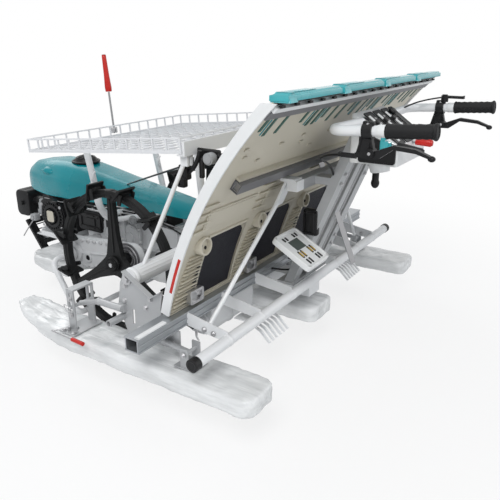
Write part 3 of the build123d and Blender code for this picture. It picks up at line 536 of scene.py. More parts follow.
def other_side(thing, name):
    only(thing)
    bpy.ops.object.duplicate()
    copy = bpy.context.object
    copy.name = name
    copy.scale = (1, -1, 1)
    bpy.ops.object.transform_apply(location=True, rotation=True, scale=True)
    bpy.ops.object.mode_set(mode="EDIT")
    bpy.ops.mesh.select_all(action="SELECT")
    bpy.ops.mesh.normals_make_consistent(inside=False)
    bpy.ops.object.mode_set(mode="OBJECT")
    return copy


def as_one(name, things, coat=None, body=None, slot=None):
    if len(things) == 1:
        things[0].name = name
        return settle(things[0], coat, body, slot)
    bpy.ops.object.select_all(action="DESELECT")
    for thing in things:
        thing.select_set(True)
    bpy.context.view_layer.objects.active = things[0]
    bpy.ops.object.join()
    whole = bpy.context.object
    whole.name = name
    return settle(whole, coat, body, slot)


def bolt(name, place, axis, size=7.0):
    tip = Vector(place) + Vector(axis).normalized() * size * 0.75
    head = tube(name, place, tip, size, 6)
    head.faces(lambda spot, way: way.dot(Vector(axis).normalized()) > 0.9).inset(size * 0.16).push(
        *(Vector(axis).normalized() * size * 0.12))
    head = head.done()
    washer = tube(name + "_washer", place, Vector(place) + Vector(axis).normalized() * size * 0.2,
                  size * 1.35, 20)
    washer = washer.done()
    return as_one(name, [head, washer])


def bolts(name, places, axis, size, coat=None, body=None):
    """places: rows of station, left, height"""
    made = [bolt(name + "_0", places[0], axis, size)]
    for k, place in enumerate(places[1:]):
        shift = Vector(place) - Vector(places[0])
        made.append(again(made[0], name + "_%d" % (k + 1), *shift))
    return as_one(name, made, coat, body)


# %% [markdown]
# ## Dress the solids
# Each solid gets its finish by name.

# %% Finishes of the solids
dress = {
    float_film: "side_float_left side_float_right centre_float",
    wheel_rubber: "wheel_left wheel_right",
    cast_white: "swing_case_left swing_case_right planting_cases transmission_case",
    white_paint: ("main_beam engine_base rack_front_legs rack_rear_legs rack_plate rack_struts planting_beam "
                  "guard_bar bar_plates rakes tray_stays handle_bars front_stand"),
    black_plastic: "fan_cover air_cleaner fuel_cap guard_caps brake_levers",
    black_paint: "muffler engine_guard hood_props",
    black_cast: "planting_arms engine_block",
    teal_plastic: "hood tray_stoppers",
    white_wire: "rack_floor rack_rim",
    galvanised: "end_plates float_brackets float_arms handle_column",
    grey_steel: "sight_pole centre_float_pads side_marker_left side_marker_right",
    red_plastic: "sight_grip marker_tip_left marker_tip_right",
    drawn_aluminium: "guide_rail",
    rail_grey: "tray_channel tray_top_rail",
    white_plastic: "control_box lever_gate tray_side_plates",
    grip_rubber: "grips",
    cream_plastic: "seedling_tray lane_walls",
    screen_net: "tray_screens",
}
dressed = set()
for coat, names in dress.items():
    for name in names.split():
        nodes[name].data.materials.clear()
        nodes[name].data.materials.append(coat.material)
        dressed.add(name)
print("dressed", len(dressed), "solids; left:", sorted(set(nodes) - dressed))


# %% [markdown]
# ## The back of the seedling tray
# The tray's back curves round one centre line, so its ribs and slots are made by spinning a small
# rectangle about that line: one face becomes a bar that follows the curve exactly.

# %% Things that follow the tray's curve
TRAY_AXIS = (-912.3, 0, 50.3)
TRAY_R = 1275.6


def tray_turn(height, off=0.0):
    return asin((height - TRAY_AXIS[2]) / (TRAY_R + off))


def tray_station(height, off=0.0):
    return TRAY_AXIS[0] + (TRAY_R + off) * cos(tray_turn(height, off))


def curved(name, y0, y1, off0, off1, z0, z1, steps=8):
    low, high = tray_turn(z0), tray_turn(z1)
    middle = TRAY_R + (off0 + off1) / 2
    bpy.ops.object.select_all(action="DESELECT")
    bpy.ops.mesh.primitive_plane_add(size=1, location=at(TRAY_AXIS[0] + middle, (y0 + y1) / 2, TRAY_AXIS[2]))
    bpy.context.object.scale = (abs(off1 - off0) / 1000, abs(y1 - y0) / 1000, 1)
    made = Piece(name)
    made.all().turn(degrees(low), "Y", TRAY_AXIS)
    bpy.ops.mesh.spin(steps=steps, angle=high - low, center=at(*TRAY_AXIS), axis=(0, 1, 0))
    return made


probe = curved("probe", 540, 556, -3, 1, 866, 912, 3).done()
print("the first slot runs from", [round(v, 4) for v in mm(probe.bound_box and Vector(probe.bound_box[0]))],
      "to", [round(v, 4) for v in mm(Vector(probe.bound_box[6]))])
bpy.data.objects.remove(probe)

# %% [markdown]
# ### Slots, ribs and bosses
# Each lane's back repeats: dark green belt slots under the top rail, a framed net window low
# down, a stack of short ribs beside it and a round boss above the ribs.

# %% Belt slots
slot_lefts = [551, 513, 455, 344, 287, 252, 214, 158, 96, 30, -8, -66, -122, -160, -198, -262, -330, -368,
              -424, -478, -516, -566]
belt_slots = []
for k, left in enumerate(slot_lefts):
    low = 884 if k % 3 == 0 else 868
    strip = curved("belt_slot_%d" % k, left - 7, left + 7, -1.4, 0.4, low, 916, 3)
    strip.edges(lambda spot,
                way: abs(way.y) < 0.1 and spot.z < low + 2 and spot.x < tray_station(low, -1)).round(0.5)
    belt_slots.append(strip.done())
belt_slots = as_one("belt_slots", belt_slots, green_strip, "tray")
bright = []
for left in (532, 306, 233, 6, -100, -180, -300, -350):
    bright.append(curved("belt_edge", left - 3, left + 3, -1.2, 0.4, 872, 912, 3).done())
as_one("belt_edges", bright, teal_plastic, "tray")
print(len(slot_lefts), "belt slots")

# %% Net windows with their frames
frames, ribs, bosses, hole_shades = [], [], [], []
for lane in range(4):
    y0 = 303 - 300 * lane
    y1 = y0 + 186
    lip = curved("window_frame", y0 - 9, y1 + 7, -5, 0.3, 344, 571, 12)
    lip.faces(lambda spot, way: hypot(spot.x - TRAY_AXIS[0], spot.z - TRAY_AXIS[2]) < TRAY_R - 4)
    lip.inset(8).push(0, 0, 0)
    lip.remove()
    lip.faces(lambda spot, way: hypot(spot.x - TRAY_AXIS[0], spot.z - TRAY_AXIS[2]) > TRAY_R - 1 and
              y0 < spot.y < y1 and abs(way.y) < 0.3).remove()
    frames.append(lip.done())
    for across, down in ((27, 27), (42, 11), (11, 42)):
        corner = curved("net_corner", y0 - 1, y0 + 46, -4.5, -0.7, 516, 563, 6)
        corner.all().trim((0, y0 + across, 562), Vector((0, down, -across)).normalized())
        frames.append(corner.done())
    for k in range(13):
        height = 362 + 12.5 * k
        base = tray_station(height)
        reach = 9 if k % 2 else 12
        rib = box("rib", base - reach, base + 3, y1 + 8, y1 + 100 - 2.2 * k, height, height + 4)
        rib.edges(lambda spot, way: spot.x < base - reach + 1 and abs(way.y) > 0.5).round(2.2, 2)
        ribs.append(rib.done())
        if k < 9:
            base = tray_station(height + 6)
            # Black blocks between the ribs stand for the shade in the gaps: painted shade.
            gap = box("gap", base - 5.5, base, y1 - 6, y1 + 26 - k, height + 5, height + 9)
            gap.edges(lambda spot, way: spot.y > y1 and abs(way.x) > 0.5).round(1.8, 2)
            hole_shades.append(gap.done())
    for k in range(4):
        height = 600 + 26 * k
        base = tray_station(height)
        rib = box("upper_rib", base - 9, base + 3, y1 + 34, y1 + 104, height, height + 5)
        rib.edges(lambda spot, way: spot.x < base - 8 and abs(way.y) > 0.5).round(2.2, 2)
        ribs.append(rib.done())
    spot_z = 548
    base = tray_station(spot_z)
    boss = tube("boss", (base - 22, y1 + 34, spot_z), (base + 4, y1 + 34, spot_z), 27, 28)
    boss.faces(looks("-x")).inset(6).push(12, 0, 0)
    boss.edges(lambda spot,
               way: spot.x < base - 21 and hypot(spot.y - y1 - 34, spot.z - spot_z) > 24).round(1.6, 2)
    bosses.append(boss.done())
    for dy, dz in ((-8, -8), (9, 4)):
        # Black pegs in the boss stand for the shade inside its holes: painted shade.
        hole = tube("boss_hole", (base - 12, y1 + 34 + dy, spot_z + dz),
                    (base - 9, y1 + 34 + dy, spot_z + dz), 4.5, 14)
        hole_shades.append(hole.all().grow(1, 1, 1.2, (base, y1 + 34 + dy, spot_z + dz)).done())
as_one("window_frames", frames, cream_plastic, "tray")
as_one("tray_ribs", ribs, cream_plastic, "tray")
as_one("tray_bosses", bosses, cream_plastic, "tray")
as_one("tray_hole_shade", hole_shades, black_plastic, "tray")
print("four net windows framed")

# %% Moulded steps, small clips and the channel's lip
steps = []
for lane in range(4):
    y0 = 300 - 300 * lane
    panel = curved("moulded_step", y0 + 12, y0 + 250, -4, 0.3, 600, 662, 4)
    panel.faces(lambda spot, way: hypot(spot.x - TRAY_AXIS[0],
                                        spot.z - TRAY_AXIS[2]) < TRAY_R - 3).inset(7).swell(1.5)
    steps.append(panel.done())
    for left, height in ((y0 + 247, 836), (y0 + 142, 790), (y0 + 60, 826), (y0 + 228, 812)):
        base = tray_station(height)
        clip = box("clip", base - 4, base + 1, left - 9, left + 9, height - 3, height + 3)
        clip.faces(looks("-x")).inset(1.4).push(-2, 0, 1)
        steps.append(clip.done())
for height in (342, 350):
    lip = curved("foot_lip", -596, 596, -7, 0.3, height, height + 4, 1)
    steps.append(lip.done())
as_one("tray_steps", steps, cream_plastic, "tray")
lip = curved("channel_lip", -498, 498, -14, 0.2, 745, 752, 2)
lip.faces(lambda spot, way: way.z > 0.5).inset(2).swell(1)
lip.done(cream_plastic, "tray")
end = curved("channel_end", 490, 497, -24, -2, 718, 742, 3)
end.faces(looks("y")).inset(4).push(0, -4, 0)
end.done(grey_steel, "tray")
print("steps and clips added")

# %% Top rail with its studs
rail_lip = curved("top_rail_lip", -598, 598, -15, 1, 945, 955, 2)
rail_lip.faces(lambda spot, way: way.x < -0.5).inset(1.5).swell(1.2)
rail_lip.done(white_plastic, "tray")
studs = []
for k in range(18):
    left = 585 - 68 * k
    base = tray_station(950, -16)
    stud = box("stud", base - 3, base + 4, left - 9, left + 9, 947, 953)
    stud.edges(lambda spot, way: abs(way.x) > 0.5).round(2.2, 3)
    studs.append(stud.done())
as_one("top_rail_studs", studs, black_plastic, "tray")
wire("stopper_rod", [(-26, 596, 958), (-26, 0, 958), (-26, -596, 958)], 4.2, black_paint, "tray")
print(len(studs), "studs on the top rail")

# %% Seedling stoppers
blades = []
for lane in range(4):
    y1 = 597 - 300 * lane
    blade = box("stopper", -52, -2, y1 - 284, y1, 962, 975)
    blade.faces(looks("z")).inset(4).push(-5, 0, 5).grow(0.7, 0.985, 1)
    blade.edges(lambda spot, way: abs(way.y) > 0.9 and spot.z > 965).round(2, 3)
    blades.append(blade.done())
    end = box("stopper_end", -56, -2, y1 - 40, y1, 959, 979)
    end.faces(looks("z")).grow(0.72, 0.6, 1).push(-4, 0, 3)
    end.edges(lambda spot, way: spot.z > 961).round(3, 3)
    blades.append(end.done())
    step = box("stopper_step", -50, -6, y1 - 150, y1 - 36, 962, 979)
    step.faces(looks("z")).grow(0.7, 0.94, 1).push(-5, 4, 3)
    step.edges(lambda spot, way: spot.z > 964).round(2.5, 3)
    blades.append(step.done())
stoppers = as_one("stopper_blades", blades, stopper_teal, "tray")
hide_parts("tray_stoppers")
print("four stoppers")

# %% Side plate's stripe and end clips
stripe = curved("side_stripe", 605.6, 606.8, -4, 5, 420, 528, 6)
stripe.faces(looks("y")).inset(0.8).push(0, 0.3, 0)
stripe.done(red_plastic, "tray")

# %% Ribs that the seedling mats slide on
slides = []
for lane in range(4):
    for k in range(7):
        left = -600 + 300 * lane + 37.5 * (k + 1)
        slide = curved("slide_rib", left - 2, left + 2, 3.7, 7.5, 572, 946, 16)
        slide.edges(lambda spot, way: abs(way.y) > 0.9 and (spot.z < 574 or spot.z > 944)).round(1, 2)
        slides.append(slide.done())
as_one("slide_ribs", slides, cream_plastic, "tray")
print(len(slides), "slide ribs")

# %% [markdown]
# ## The hood
# The hood is one smooth moulding. It starts as a long box whose upper edges are rounded, is cut
# into rings, and each ring is then drawn in or raised to the section that the hood has there.

# %% Hood
hood_rings = [(1652, 30, 484, 36), (1640, 45, 474, 53), (1612, 68, 458, 87), (1560, 90, 445, 129),
              (1460, 104, 438, 150),
              (1340, 105, 437, 152), (1260, 102, 439, 143), (1160, 96, 442, 124), (1060, 89, 446, 102),
              (960, 82, 446, 86), (860, 74, 443, 74),
              (760, 67, 438, 64), (690, 61, 435, 56), (662, 54, 434, 50)]
hood = box("hood_shell", 662, 1652, -100, 100, 440, 540)
hood.edges(lambda spot, way: abs(way.x) > 0.9 and spot.z > 500).round(58, 7)
for station, half, low, high in hood_rings[1:-1]:
    hood.all().cut((station, 0, 480), (1, 0, 0))
for station, half, low, high in hood_rings:
    ring_here = hood.edges(lambda spot, way: abs(spot.x - station) < 2 and abs(way.x) < 0.1)
    ring_here.grow(1, half / 100, high / 100, (station, 0, 440))
    ring_here.move(0, 0, low - 440)
hood.edges(lambda spot, way: (spot.x > 1651 or spot.x < 663) and abs(way.x) < 0.1).round(7, 3)
hood_shell = hood.done(hood_film, "chassis", angle=60)
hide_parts("hood")
print("hood of", len(hood_shell.data.polygons), "faces")

# %% Recess, cap and lower edge of the hood
CAP_X = 1296
ring("cap_well", (CAP_X, 0, 590), (0, 0, 1), 57, 5, 48, 10).done(black_plastic, "chassis")
cap = tube("fuel_cap_top", (CAP_X, 0, 588), (CAP_X, 0, 604), 52, 40, 46)
cap.faces(looks("z")).inset(5).push(0, 0, 5).inset(7).push(0, 0, -2)
cap.edges(lambda spot, way: spot.z > 604 and hypot(spot.x - CAP_X, spot.y) > 42).round(2, 2)
cap = cap.done()
bars = []
for k in range(3):
    bar = box("cap_bar", CAP_X - 34, CAP_X + 34, -8, 8, 604, 613)
    bar.edges(lambda spot, way: spot.z > 612).round(4, 3)
    bars.append(bar.all().turn(60 * k, "Z", (CAP_X, 0, 606)).done())
lock = tube("cap_lock", (CAP_X, 0, 604), (CAP_X, 0, 616), 18, 24)
lock.faces(looks("z")).inset(3).push(0, 0, -2)
cap = as_one("fuel_cap_knob", [cap, lock.done()] + bars, black_plastic, "chassis")
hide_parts("fuel_cap")
dome = ball("hood_scoop", (1446, 90, 546), 30, 12)
dome.all().grow(1.35, 0.7, 0.55, (1446, 90, 546)).turn(8, "Y", (1446, 90, 546))
dome.faces(lambda spot, way: spot.x > 1462).grow(1, 0.55, 0.5, (1470, 96, 540))
dome.done(teal_plastic, "chassis", angle=60)
hem = wire("hood_hem", [(1648, 36, 480), (1612, 67, 459), (1560, 89, 446), (1460, 103, 439), (1400, 104, 438),
                        (1160, 95, 444), (900, 77, 446), (690, 59, 437)],
           3.2, teal_plastic, "chassis")
hem_far = other_side(hem, "hood_hem_far")
settle(hem_far, None, "chassis", "teal_plastic")

# %% [markdown]
# ## The engine
# Most of the engine is black: a round fan cover with a starter, a shroud over the cylinder, a
# ribbed air cleaner and a caged exhaust. The crankcase below is bare cast metal.

# %% Fan cover and starter
FAN_X, FAN_Z = 1400, 352
cover = tube("fan_housing", (FAN_X, 94, FAN_Z), (FAN_X, 128, FAN_Z), 78, 40)
cover.faces(looks("y")).inset(7).push(0, 5, 0).inset(9).push(0, -3, 0).inset(9).push(0, 7, 0)
cover.inset(16).push(0, 1, 0)
cover = cover.done()
spokes = []
for k in range(24):
    fin = box("cover_fin", FAN_X + 44, FAN_X + 68, 127, 135, 349.5, 354.5)
    fin.edges(lambda spot, way: spot.y > 134).round(1, 2)
    spokes.append(fin.all().turn(15 * k, "Y", (FAN_X, 130, FAN_Z)).done())
eight = tube("starter_cap", (FAN_X, 126, FAN_Z), (FAN_X, 141, FAN_Z), 40, 8)
eight.faces(looks("y")).inset(6).push(0, 2, 0)
eight.edges(runs("y")).round(6, 3)
fan = as_one("fan_cover_shell", [cover, eight.done()] + spokes, black_plastic, "chassis")
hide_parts("fan_cover")
label = box("blank_plate", 1378, 1422, 142.6, 144, 328, 378)
label.edges(runs("y")).round(9, 4)
label.faces(looks("y")).inset(3).push(0, -0.3, 0)
label.done(cream_plastic, "chassis")
pull = box("starter_grip", 1352, 1392, 128, 142, 414, 426)
pull.edges(every).round(5, 3)
pull.done(black_plastic, "chassis")
print("fan cover with", len(spokes), "fins")

# %% Shroud, tank bracket and cylinder fins
shroud = box("engine_shroud", 1300, 1496, -100, 94, 372, 440)
shroud.edges(runs("y")).round(24, 5)
shroud.faces(looks("y")).inset(8).push(0, 2, 0)
shroud = shroud.done()
side_pod = box("shroud_side", 1296, 1352, 60, 118, 300, 402)
side_pod.edges(lambda spot, way: abs(way.y) > 0.9 or spot.y > 117).round(12, 4)
side_pod = side_pod.done()
box_low = box("governor_box", 1470, 1524, 20, 92, 330, 402)
box_low.edges(every).round(7, 3)
as_one("engine_shrouds", [shroud, side_pod, box_low.done()], black_plastic, "chassis")
fins = []
for k in range(7):
    fin = box("cylinder_fin", 1304, 1488, -118, 99, 284 + 12 * k, 289 + 12 * k)
    fin.edges(runs("z")).round(16, 3)
    fins.append(fin.done())
as_one("cylinder_fins", fins, grey_cast, "chassis")
sump = box("engine_sump", 1286, 1504, -116, 104, 262, 284)
sump.edges(runs("z")).round(12, 3)
sump.faces(looks("z")).inset(8).push(0, 0, 4)
sump.done(grey_cast, "chassis")
bolts("engine_bolts", [(1460, 136, 400), (1340, 136, 400), (1460, 136, 304), (1340, 136, 304)], (0, 1, 0), 5,
      zinc, "chassis")
print("shroud and", len(fins), "cylinder fins")

# %% Air cleaner
cleaner = box("air_cleaner_box", 1618, 1710, -12, 88, 302, 426)
cleaner.edges(runs("y")).round(26, 6)
cleaner.edges(lambda spot, way: abs(spot.y - 88) < 1 or abs(spot.y + 12) < 1).round(5, 3)
cleaner = cleaner.done()
parts = [cleaner]
for k in range(7):
    band = box("cleaner_rib", 1624, 1709.5, -8 + 13.2 * k, -3 + 13.2 * k, 300.5, 427.5)
    band.edges(runs("y")).round(27, 6)
    parts.append(band.done())
neck = tube("cleaner_neck", (1506, 38, 372), (1622, 38, 372), 24, 24)
neck.faces(looks("-x")).inset(4).push(-6, 0, 0)
parts.append(neck.done())
knob = tube("cleaner_knob", (1664, 88, 364), (1664, 97, 364), 11, 12)
knob.faces(looks("y")).inset(3).push(0, 2, 0)
parts.append(knob.done())
cleaner = as_one("air_cleaner_shell", parts, black_plastic, "chassis")
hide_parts("air_cleaner")
carb = box("carburettor", 1526, 1572, 12, 66, 330, 392)
carb.edges(every).round(5, 2)
carb.faces(looks("y")).inset(9).push(0, 9, 0).inset(5).push(0, 5, 0)
carb.faces(looks("-z")).inset(9).push(0, 0, -22)
carb.done(grey_cast, "chassis")
wire("spark_lead", [(1490, 40, 432), (1500, 76, 440), (1452, 104, 436), (1420, 112, 420), (1404, 100, 404)],
     3.6,
     black_plastic, "chassis")
wire("throttle_wire", [(1480, 102, 418), (1420, 120, 428), (1360, 122, 420), (1310, 110, 424),
                       (1240, 92, 430)], 1.8,
     grey_steel, "chassis")
wire("fuel_pipe", [(1352, 60, 436), (1430, 92, 432), (1520, 86, 402), (1548, 74, 372)], 3.2, black_plastic,
     "chassis")
wire("guard_stay", [(1552, 104, 322), (1574, 128, 282), (1590, 158, 232)], 2.6, grey_steel, "chassis")
stub = box("guard_block", 1544, 1580, 88, 118, 300, 330)
stub.edges(every).round(4, 2)
stub.faces(looks("y")).inset(6).push(0, 4, 0)
stub.done(grey_cast, "chassis")
print("air cleaner, carburettor and leads")

# %% Exhaust
can = tube("exhaust_can", (1395, -198, 345), (1395, -124, 345), 50, 32)
can.faces(looks("-y")).inset(8).push(0, -2, 0).inset(12).push(0, 4, 0)
can.faces(looks("y")).inset(20).push(0, 14, 0)
cage = [can.done()]
for k in range(9):
    slat = box("exhaust_slat", 1352 + 9.6 * k, 1357 + 9.6 * k, -200, -128, 300, 397)
    slat.edges(runs("x")).round(10, 3)
    cage.append(slat.done())
exhaust = as_one("exhaust_cage", cage, black_paint, "chassis")
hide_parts("muffler")
grille = []
for k in range(6):
    x = 1512 + 15 * k
    bar = box("guard_bar", x, x + 5, -96, 96, 168 + 19.6 * k, 173 + 19.6 * k)
    bar.edges(runs("y")).round(1.6, 2)
    grille.append(bar.done())
as_one("guard_slats", grille, black_paint, "chassis")
print("exhaust and guard slats")

# %% [markdown]
# ## Running gear and castings
# White castings carry the wheels. They get their flanges, ribs and bolts, and the gear case gets
# its round covers.

# %% Swing cases' fittings
AXLE_X, AXLE_Z = 840, 299.75
PIVOT_X, PIVOT_Z = 1150, 262
WHEEL_MID = (AXLE_X, 300, AXLE_Z)
made, zincs, darks = [], [], []
for k in range(7):
    x = 880 + 36 * k
    z = AXLE_Z + (x - AXLE_X) * (PIVOT_Z - AXLE_Z) / (PIVOT_X - AXLE_X)
    for way in (1, -1):
        lug = tube("case_lug", (x, 226, z + way * (46 + 0.04 * (x - AXLE_X))),
                   (x, 241, z + way * (46 + 0.04 * (x - AXLE_X))),
                   9, 16)
        lug.faces(looks("y")).inset(2).push(0, 1, 0)
        made.append(lug.done())
        zincs.append(bolt("case_bolt", (x, 241, z + way * (46 + 0.04 * (x - AXLE_X))), (0, 1, 0), 4.6))
rib = box("case_rib", 880, 1120, 234, 241, 278, 288)
rib.edges(lambda spot, way: spot.y > 240 or abs(way.y) > 0.9).round(2.4, 3)
made.append(rib.all().turn(-6.9, "Y", (1000, 238, 283)).done())
pad = tube("case_pad", (1065, 230, 256), (1065, 243, 256), 20, 28)
pad.faces(looks("y")).inset(8).push(0, -5, 0)
made.append(pad.done())
plug = tube("case_plug", (1065, 236, 256), (1065, 242.5, 256), 11, 6)
plug.faces(looks("y")).inset(3).push(0, -2, 0)
darks.append(plug.done())
end = tube("pivot_cover", (PIVOT_X, 234, PIVOT_Z), (PIVOT_X, 248, PIVOT_Z), 50, 36)
end.faces(looks("y")).inset(7).push(0, -3, 0).inset(14).push(0, 6, 0)
made.append(end.done())
near_case = as_one("case_fittings_left", made, cast_white, "swing_left")
near_bolts = as_one("case_bolts_left", zincs, zinc, "swing_left")
near_plug = as_one("case_plug_left", darks, black_plastic, "swing_left")
flange = ring("bearing_flange", (AXLE_X, 243.2, AXLE_Z), (0, 1, 0), 45, 5.5, 44, 10)
flange = flange.all().grow(1, 0.5, 1, (AXLE_X, 243.2, AXLE_Z)).done()
seal = ring("bearing_seal", (AXLE_X, 244, AXLE_Z), (0, 1, 0), 33, 4.5, 40, 10)
seal = seal.done()
outer = ring("bearing_outer", (AXLE_X, 239, AXLE_Z), (0, 1, 0), 56, 5.5, 48, 10)
outer = outer.all().grow(1, 0.7, 1, (AXLE_X, 239, AXLE_Z)).done()
near_flange = as_one("bearing_left", [flange, seal, outer], dark_steel, "swing_left")
for thing, slot in ((near_case, "cast_white"), (near_bolts, "grey_steel"), (near_plug, "black_plastic"),
                    (near_flange, "grey_steel")):
    settle(other_side(thing, thing.name.replace("left", "right")), None, "swing_right", slot)
print("swing cases fitted")

# %% Wheels' hubs, beads and lug ribs
made = []
bead = ring("wheel_bead", WHEEL_MID, (0, 1, 0), 268, 9, 96, 10)
bead.all().grow(1, 1.75, 1, WHEEL_MID)
made.append(bead.done())
for left in (291, 309):
    made.append(ring("rim_lip", (AXLE_X, left, AXLE_Z), (0, 1, 0), 279, 3.2, 96, 8).done())
hub = tube("hub_sleeve", (AXLE_X, 296, AXLE_Z), (AXLE_X, 328, AXLE_Z), 27, 36)
hub.faces(looks("y")).inset(4).push(0, -4, 0).inset(5).push(0, 6, 0).inset(4).push(0, -8, 0)
made.append(hub.done())
for left, radius in ((303, 31), (317, 30)):
    made.append(ring("hub_band", (AXLE_X, left, AXLE_Z), (0, 1, 0), radius - 3, 4, 36, 8).done())
for k in range(3):
    rib = box("spoke_rib", AXLE_X + 44, AXLE_X + 250, 309, 313, 296, 303.5)
    rib.edges(lambda spot, way: spot.y > 312 or abs(way.y) > 0.9).round(1.5, 2)
    rib.all().turn(90 + 120 * k, "Y", WHEEL_MID)
    made.append(rib.done())
    collar = box("spoke_root", AXLE_X + 252, AXLE_X + 284, 283, 317, 284, 315.5)
    collar.edges(every).round(7, 3)
    collar.all().turn(90 + 120 * k, "Y", WHEEL_MID)
    made.append(collar.done())
for k in range(12):
    for left in (268, 332):
        rib = box("lug_rib", AXLE_X + 250, AXLE_X + 292, left - 3, left + 3, 296, 312)
        rib.edges(runs("y")).round(5, 3)
        rib.all().turn(30 * (k + 0.5), "Y", WHEEL_MID)
        made.append(rib.done())
near_wheel = as_one("wheel_details_left", made, wheel_rubber, "wheel_left")
settle(other_side(near_wheel, "wheel_details_right"), None, "wheel_right", "wheel_rubber")
pin = bolt("wheel_pin_left", (AXLE_X, 326, AXLE_Z), (0, 1, 0), 9)
settle(pin, zinc, "wheel_left")
settle(other_side(pin, "wheel_pin_right"), None, "wheel_right", "grey_steel")
print("wheels detailed")

# %% Gear case
made = []
for x, z, radius, left in ((1060, 330, 62, 105), (966, 322, 52, 84), (1150, 350, 44, 105),
                           (860, 318, 40, 62)):
    lid = tube("gear_cover", (x, left - 2, z), (x, left + 9, z), radius, 36)
    lid.faces(looks("y")).inset(7).push(0, 3, 0).inset(radius * 0.4).push(0, 6, 0).inset(5).push(0, -3, 0)
    made.append(lid.done())
    for k in range(6):
        turn = radians(60 * k + 20)
        lug = tube("cover_lug", (x + radius * cos(turn), left - 4, z + radius * sin(turn)),
                   (x + radius * cos(turn), left + 7, z + radius * sin(turn)), 7, 14)
        lug.faces(looks("y")).inset(1.5).push(0, 1, 0)
        made.append(lug.done())
        made.append(bolt("cover_bolt", (x + radius * cos(turn), left + 7, z + radius * sin(turn)), (0, 1, 0),
                         4.2))
for k in range(6):
    rib = box("case_fin", 1000 + 34 * k, 1006 + 34 * k, -100, 100, 404, 416)
    rib.edges(runs("x")).round(5, 3)
    made.append(rib.done())
for k in range(5):
    rib = box("beam_fin", 752 + 40 * k, 757 + 40 * k, -56, 56, 378, 388)
    rib.edges(runs("x")).round(4, 3)
    made.append(rib.done())
turret = tube("valve_turret", (1110, 40, 404), (1110, 40, 440), 22, 24)
turret.faces(looks("z")).inset(5).push(0, 0, 4)
made.append(turret.done())
valve = box("valve_block", 900, 962, -20, 64, 392, 424)
valve.edges(every).round(5, 2)
valve.faces(looks("z")).inset(9).push(0, 0, 5)
made.append(valve.done())
half_far = [other_side(thing, thing.name + "_far") for thing in made if "cover" in thing.name]
as_one("gear_case_details", made + half_far, cast_white, "chassis")
wire("lift_pipe", [(1124, 60, 418), (1090, 92, 446), (1010, 84, 438), (950, 50, 446), (930, 30, 424)], 4.5,
     zinc, "chassis")
wire("shift_rod", [(1180, 70, 430), (1040, 92, 428), (900, 82, 414), (760, 62, 398), (650, 50, 372)], 3.2,
     grey_steel, "chassis")
wire("clutch_cable", [(1190, -40, 432), (1080, 20, 452), (940, 66, 436), (800, 74, 404), (640, 62, 345),
                      (420, 58, 312),
                      (262, 62, 314), (214, 62, 330)], 3.4, black_plastic, "chassis")
wire("lift_cable", [(1160, -60, 430), (980, -76, 430), (800, -74, 402), (600, -62, 340), (400, -58, 310),
                    (240, -62, 318)], 3.4, black_plastic, "chassis")
wire("gas_rod", [(1010, 48, 529), (720, 224, 630), (430, 396, 729)], 3.2, black_paint, "chassis")
print("gear case dressed")

# %% [markdown]
# ## The control box
# The box's sloping face carries three black panels with curved lever tracks. They are laid out
# flat and turned to the slope of the face about its middle.

# %% Panels and levers of the control box
BOX_MID = (-89, 0, 849)
BOX_SLOPE = 35.2
shell = box("box_shell", -150, -2, -130, 130, 746, 892)
shell.cut((-28, 0, 820), (1, 0, 0))
shell.edges(lambda spot, way: spot.x < -149 and spot.z > 891 and abs(way.y) > 0.9).move(0, 0, -86)
shell.edges(lambda spot, way: spot.z > 748 and not (abs(spot.x + 28) < 1 and abs(way.z) > 0.9)).round(8, 4)
shell = shell.done(white_plastic, "chassis", angle=50)


def on_box(piece):
    return piece.all().turn(BOX_SLOPE, "Y", BOX_MID)


panels, tracks, knobs, patches = [], [], [], []
for left, wide in ((88, 58), (20, 58), (-46, 54), (-100, 34)):
    panel = box("panel", -162, -20, left - wide / 2, left + wide / 2, 848.4, 851)
    panel.edges(runs("z")).round(5, 3)
    panel.faces(looks("z")).inset(2.5).push(0, 0, -0.8)
    panels.append(on_box(panel).done())
for left in (88, 20, -46):
    for x0, x1, y0, y1 in ((-150, -62, left + 1, left + 8), (-69, -62, left + 1, left + 19),
                           (-69, -36, left + 12, left + 19)):
        track = box("track", x0, x1, y0, y1, 850, 854)
        track.edges(lambda spot, way: spot.z > 853.5).round(0.6, 2)
        tracks.append(on_box(track).done())
    for k in range(5):
        mark = box("mark", -140 + 22 * k, -134 + 22 * k, left - 18, left - 8, 850, 851.6)
        mark.faces(looks("z")).inset(1).push(0, 0, 0.2)
        patches.append(on_box(mark).done())
    tip = box("lever_tip", -74, -60, left + 8, left + 20, 850, 858)
    tip.edges(lambda spot, way: spot.z > 857).round(3, 3)
    knobs.append(on_box(tip).done())
top_knob = box("top_latch", -56, -34, -76, -50, 851, 866)
top_knob.edges(every).round(6, 3)
knobs.append(on_box(top_knob).done())
as_one("box_panels", panels, black_plastic, "chassis")
as_one("lever_tracks", tracks, white_plastic, "chassis")
as_one("lever_knobs", knobs, black_plastic, "chassis")
as_one("panel_marks", patches, grey_steel, "chassis")
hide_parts("control_box")
print("control box with", len(panels), "panels")

# %% Levers, lamp and knob round the box
red_end = tube("red_knob", (-160, 0, 802), (-206, 0, 803), 8, 20, 12)
red_end.faces(looks("-x")).inset(3).push(-5, 0, 0)
red_end.edges(lambda spot, way: abs(way.x) < 0.2 and spot.x < -204).round(2, 2)
red_end.done(red_plastic, "chassis")
wire("red_stem", [(-128, 0, 800), (-165, 0, 802)], 4, grey_steel, "chassis")
grip = tube("lift_grip", (-152, 142, 812), (-224, 142, 800), 9.5, 24)
grip.cut((-175, 142, 808), (1, 0, 0)).cut((-200, 142, 804), (1, 0, 0))
grip.faces(lambda spot, way: way.x < -0.8).inset(3).push(-4, 0, 0)
grip.edges(lambda spot, way: abs(way.x) < 0.3).round(1.2, 2)
grip.done(black_plastic, "chassis")
wire("lift_stem", [(-116, 148, 820), (-134, 142, 816), (-156, 142, 811)], 3.6, zinc, "chassis")
cheek = box("box_cheek", -146, -34, 130.5, 138, 752, 846)
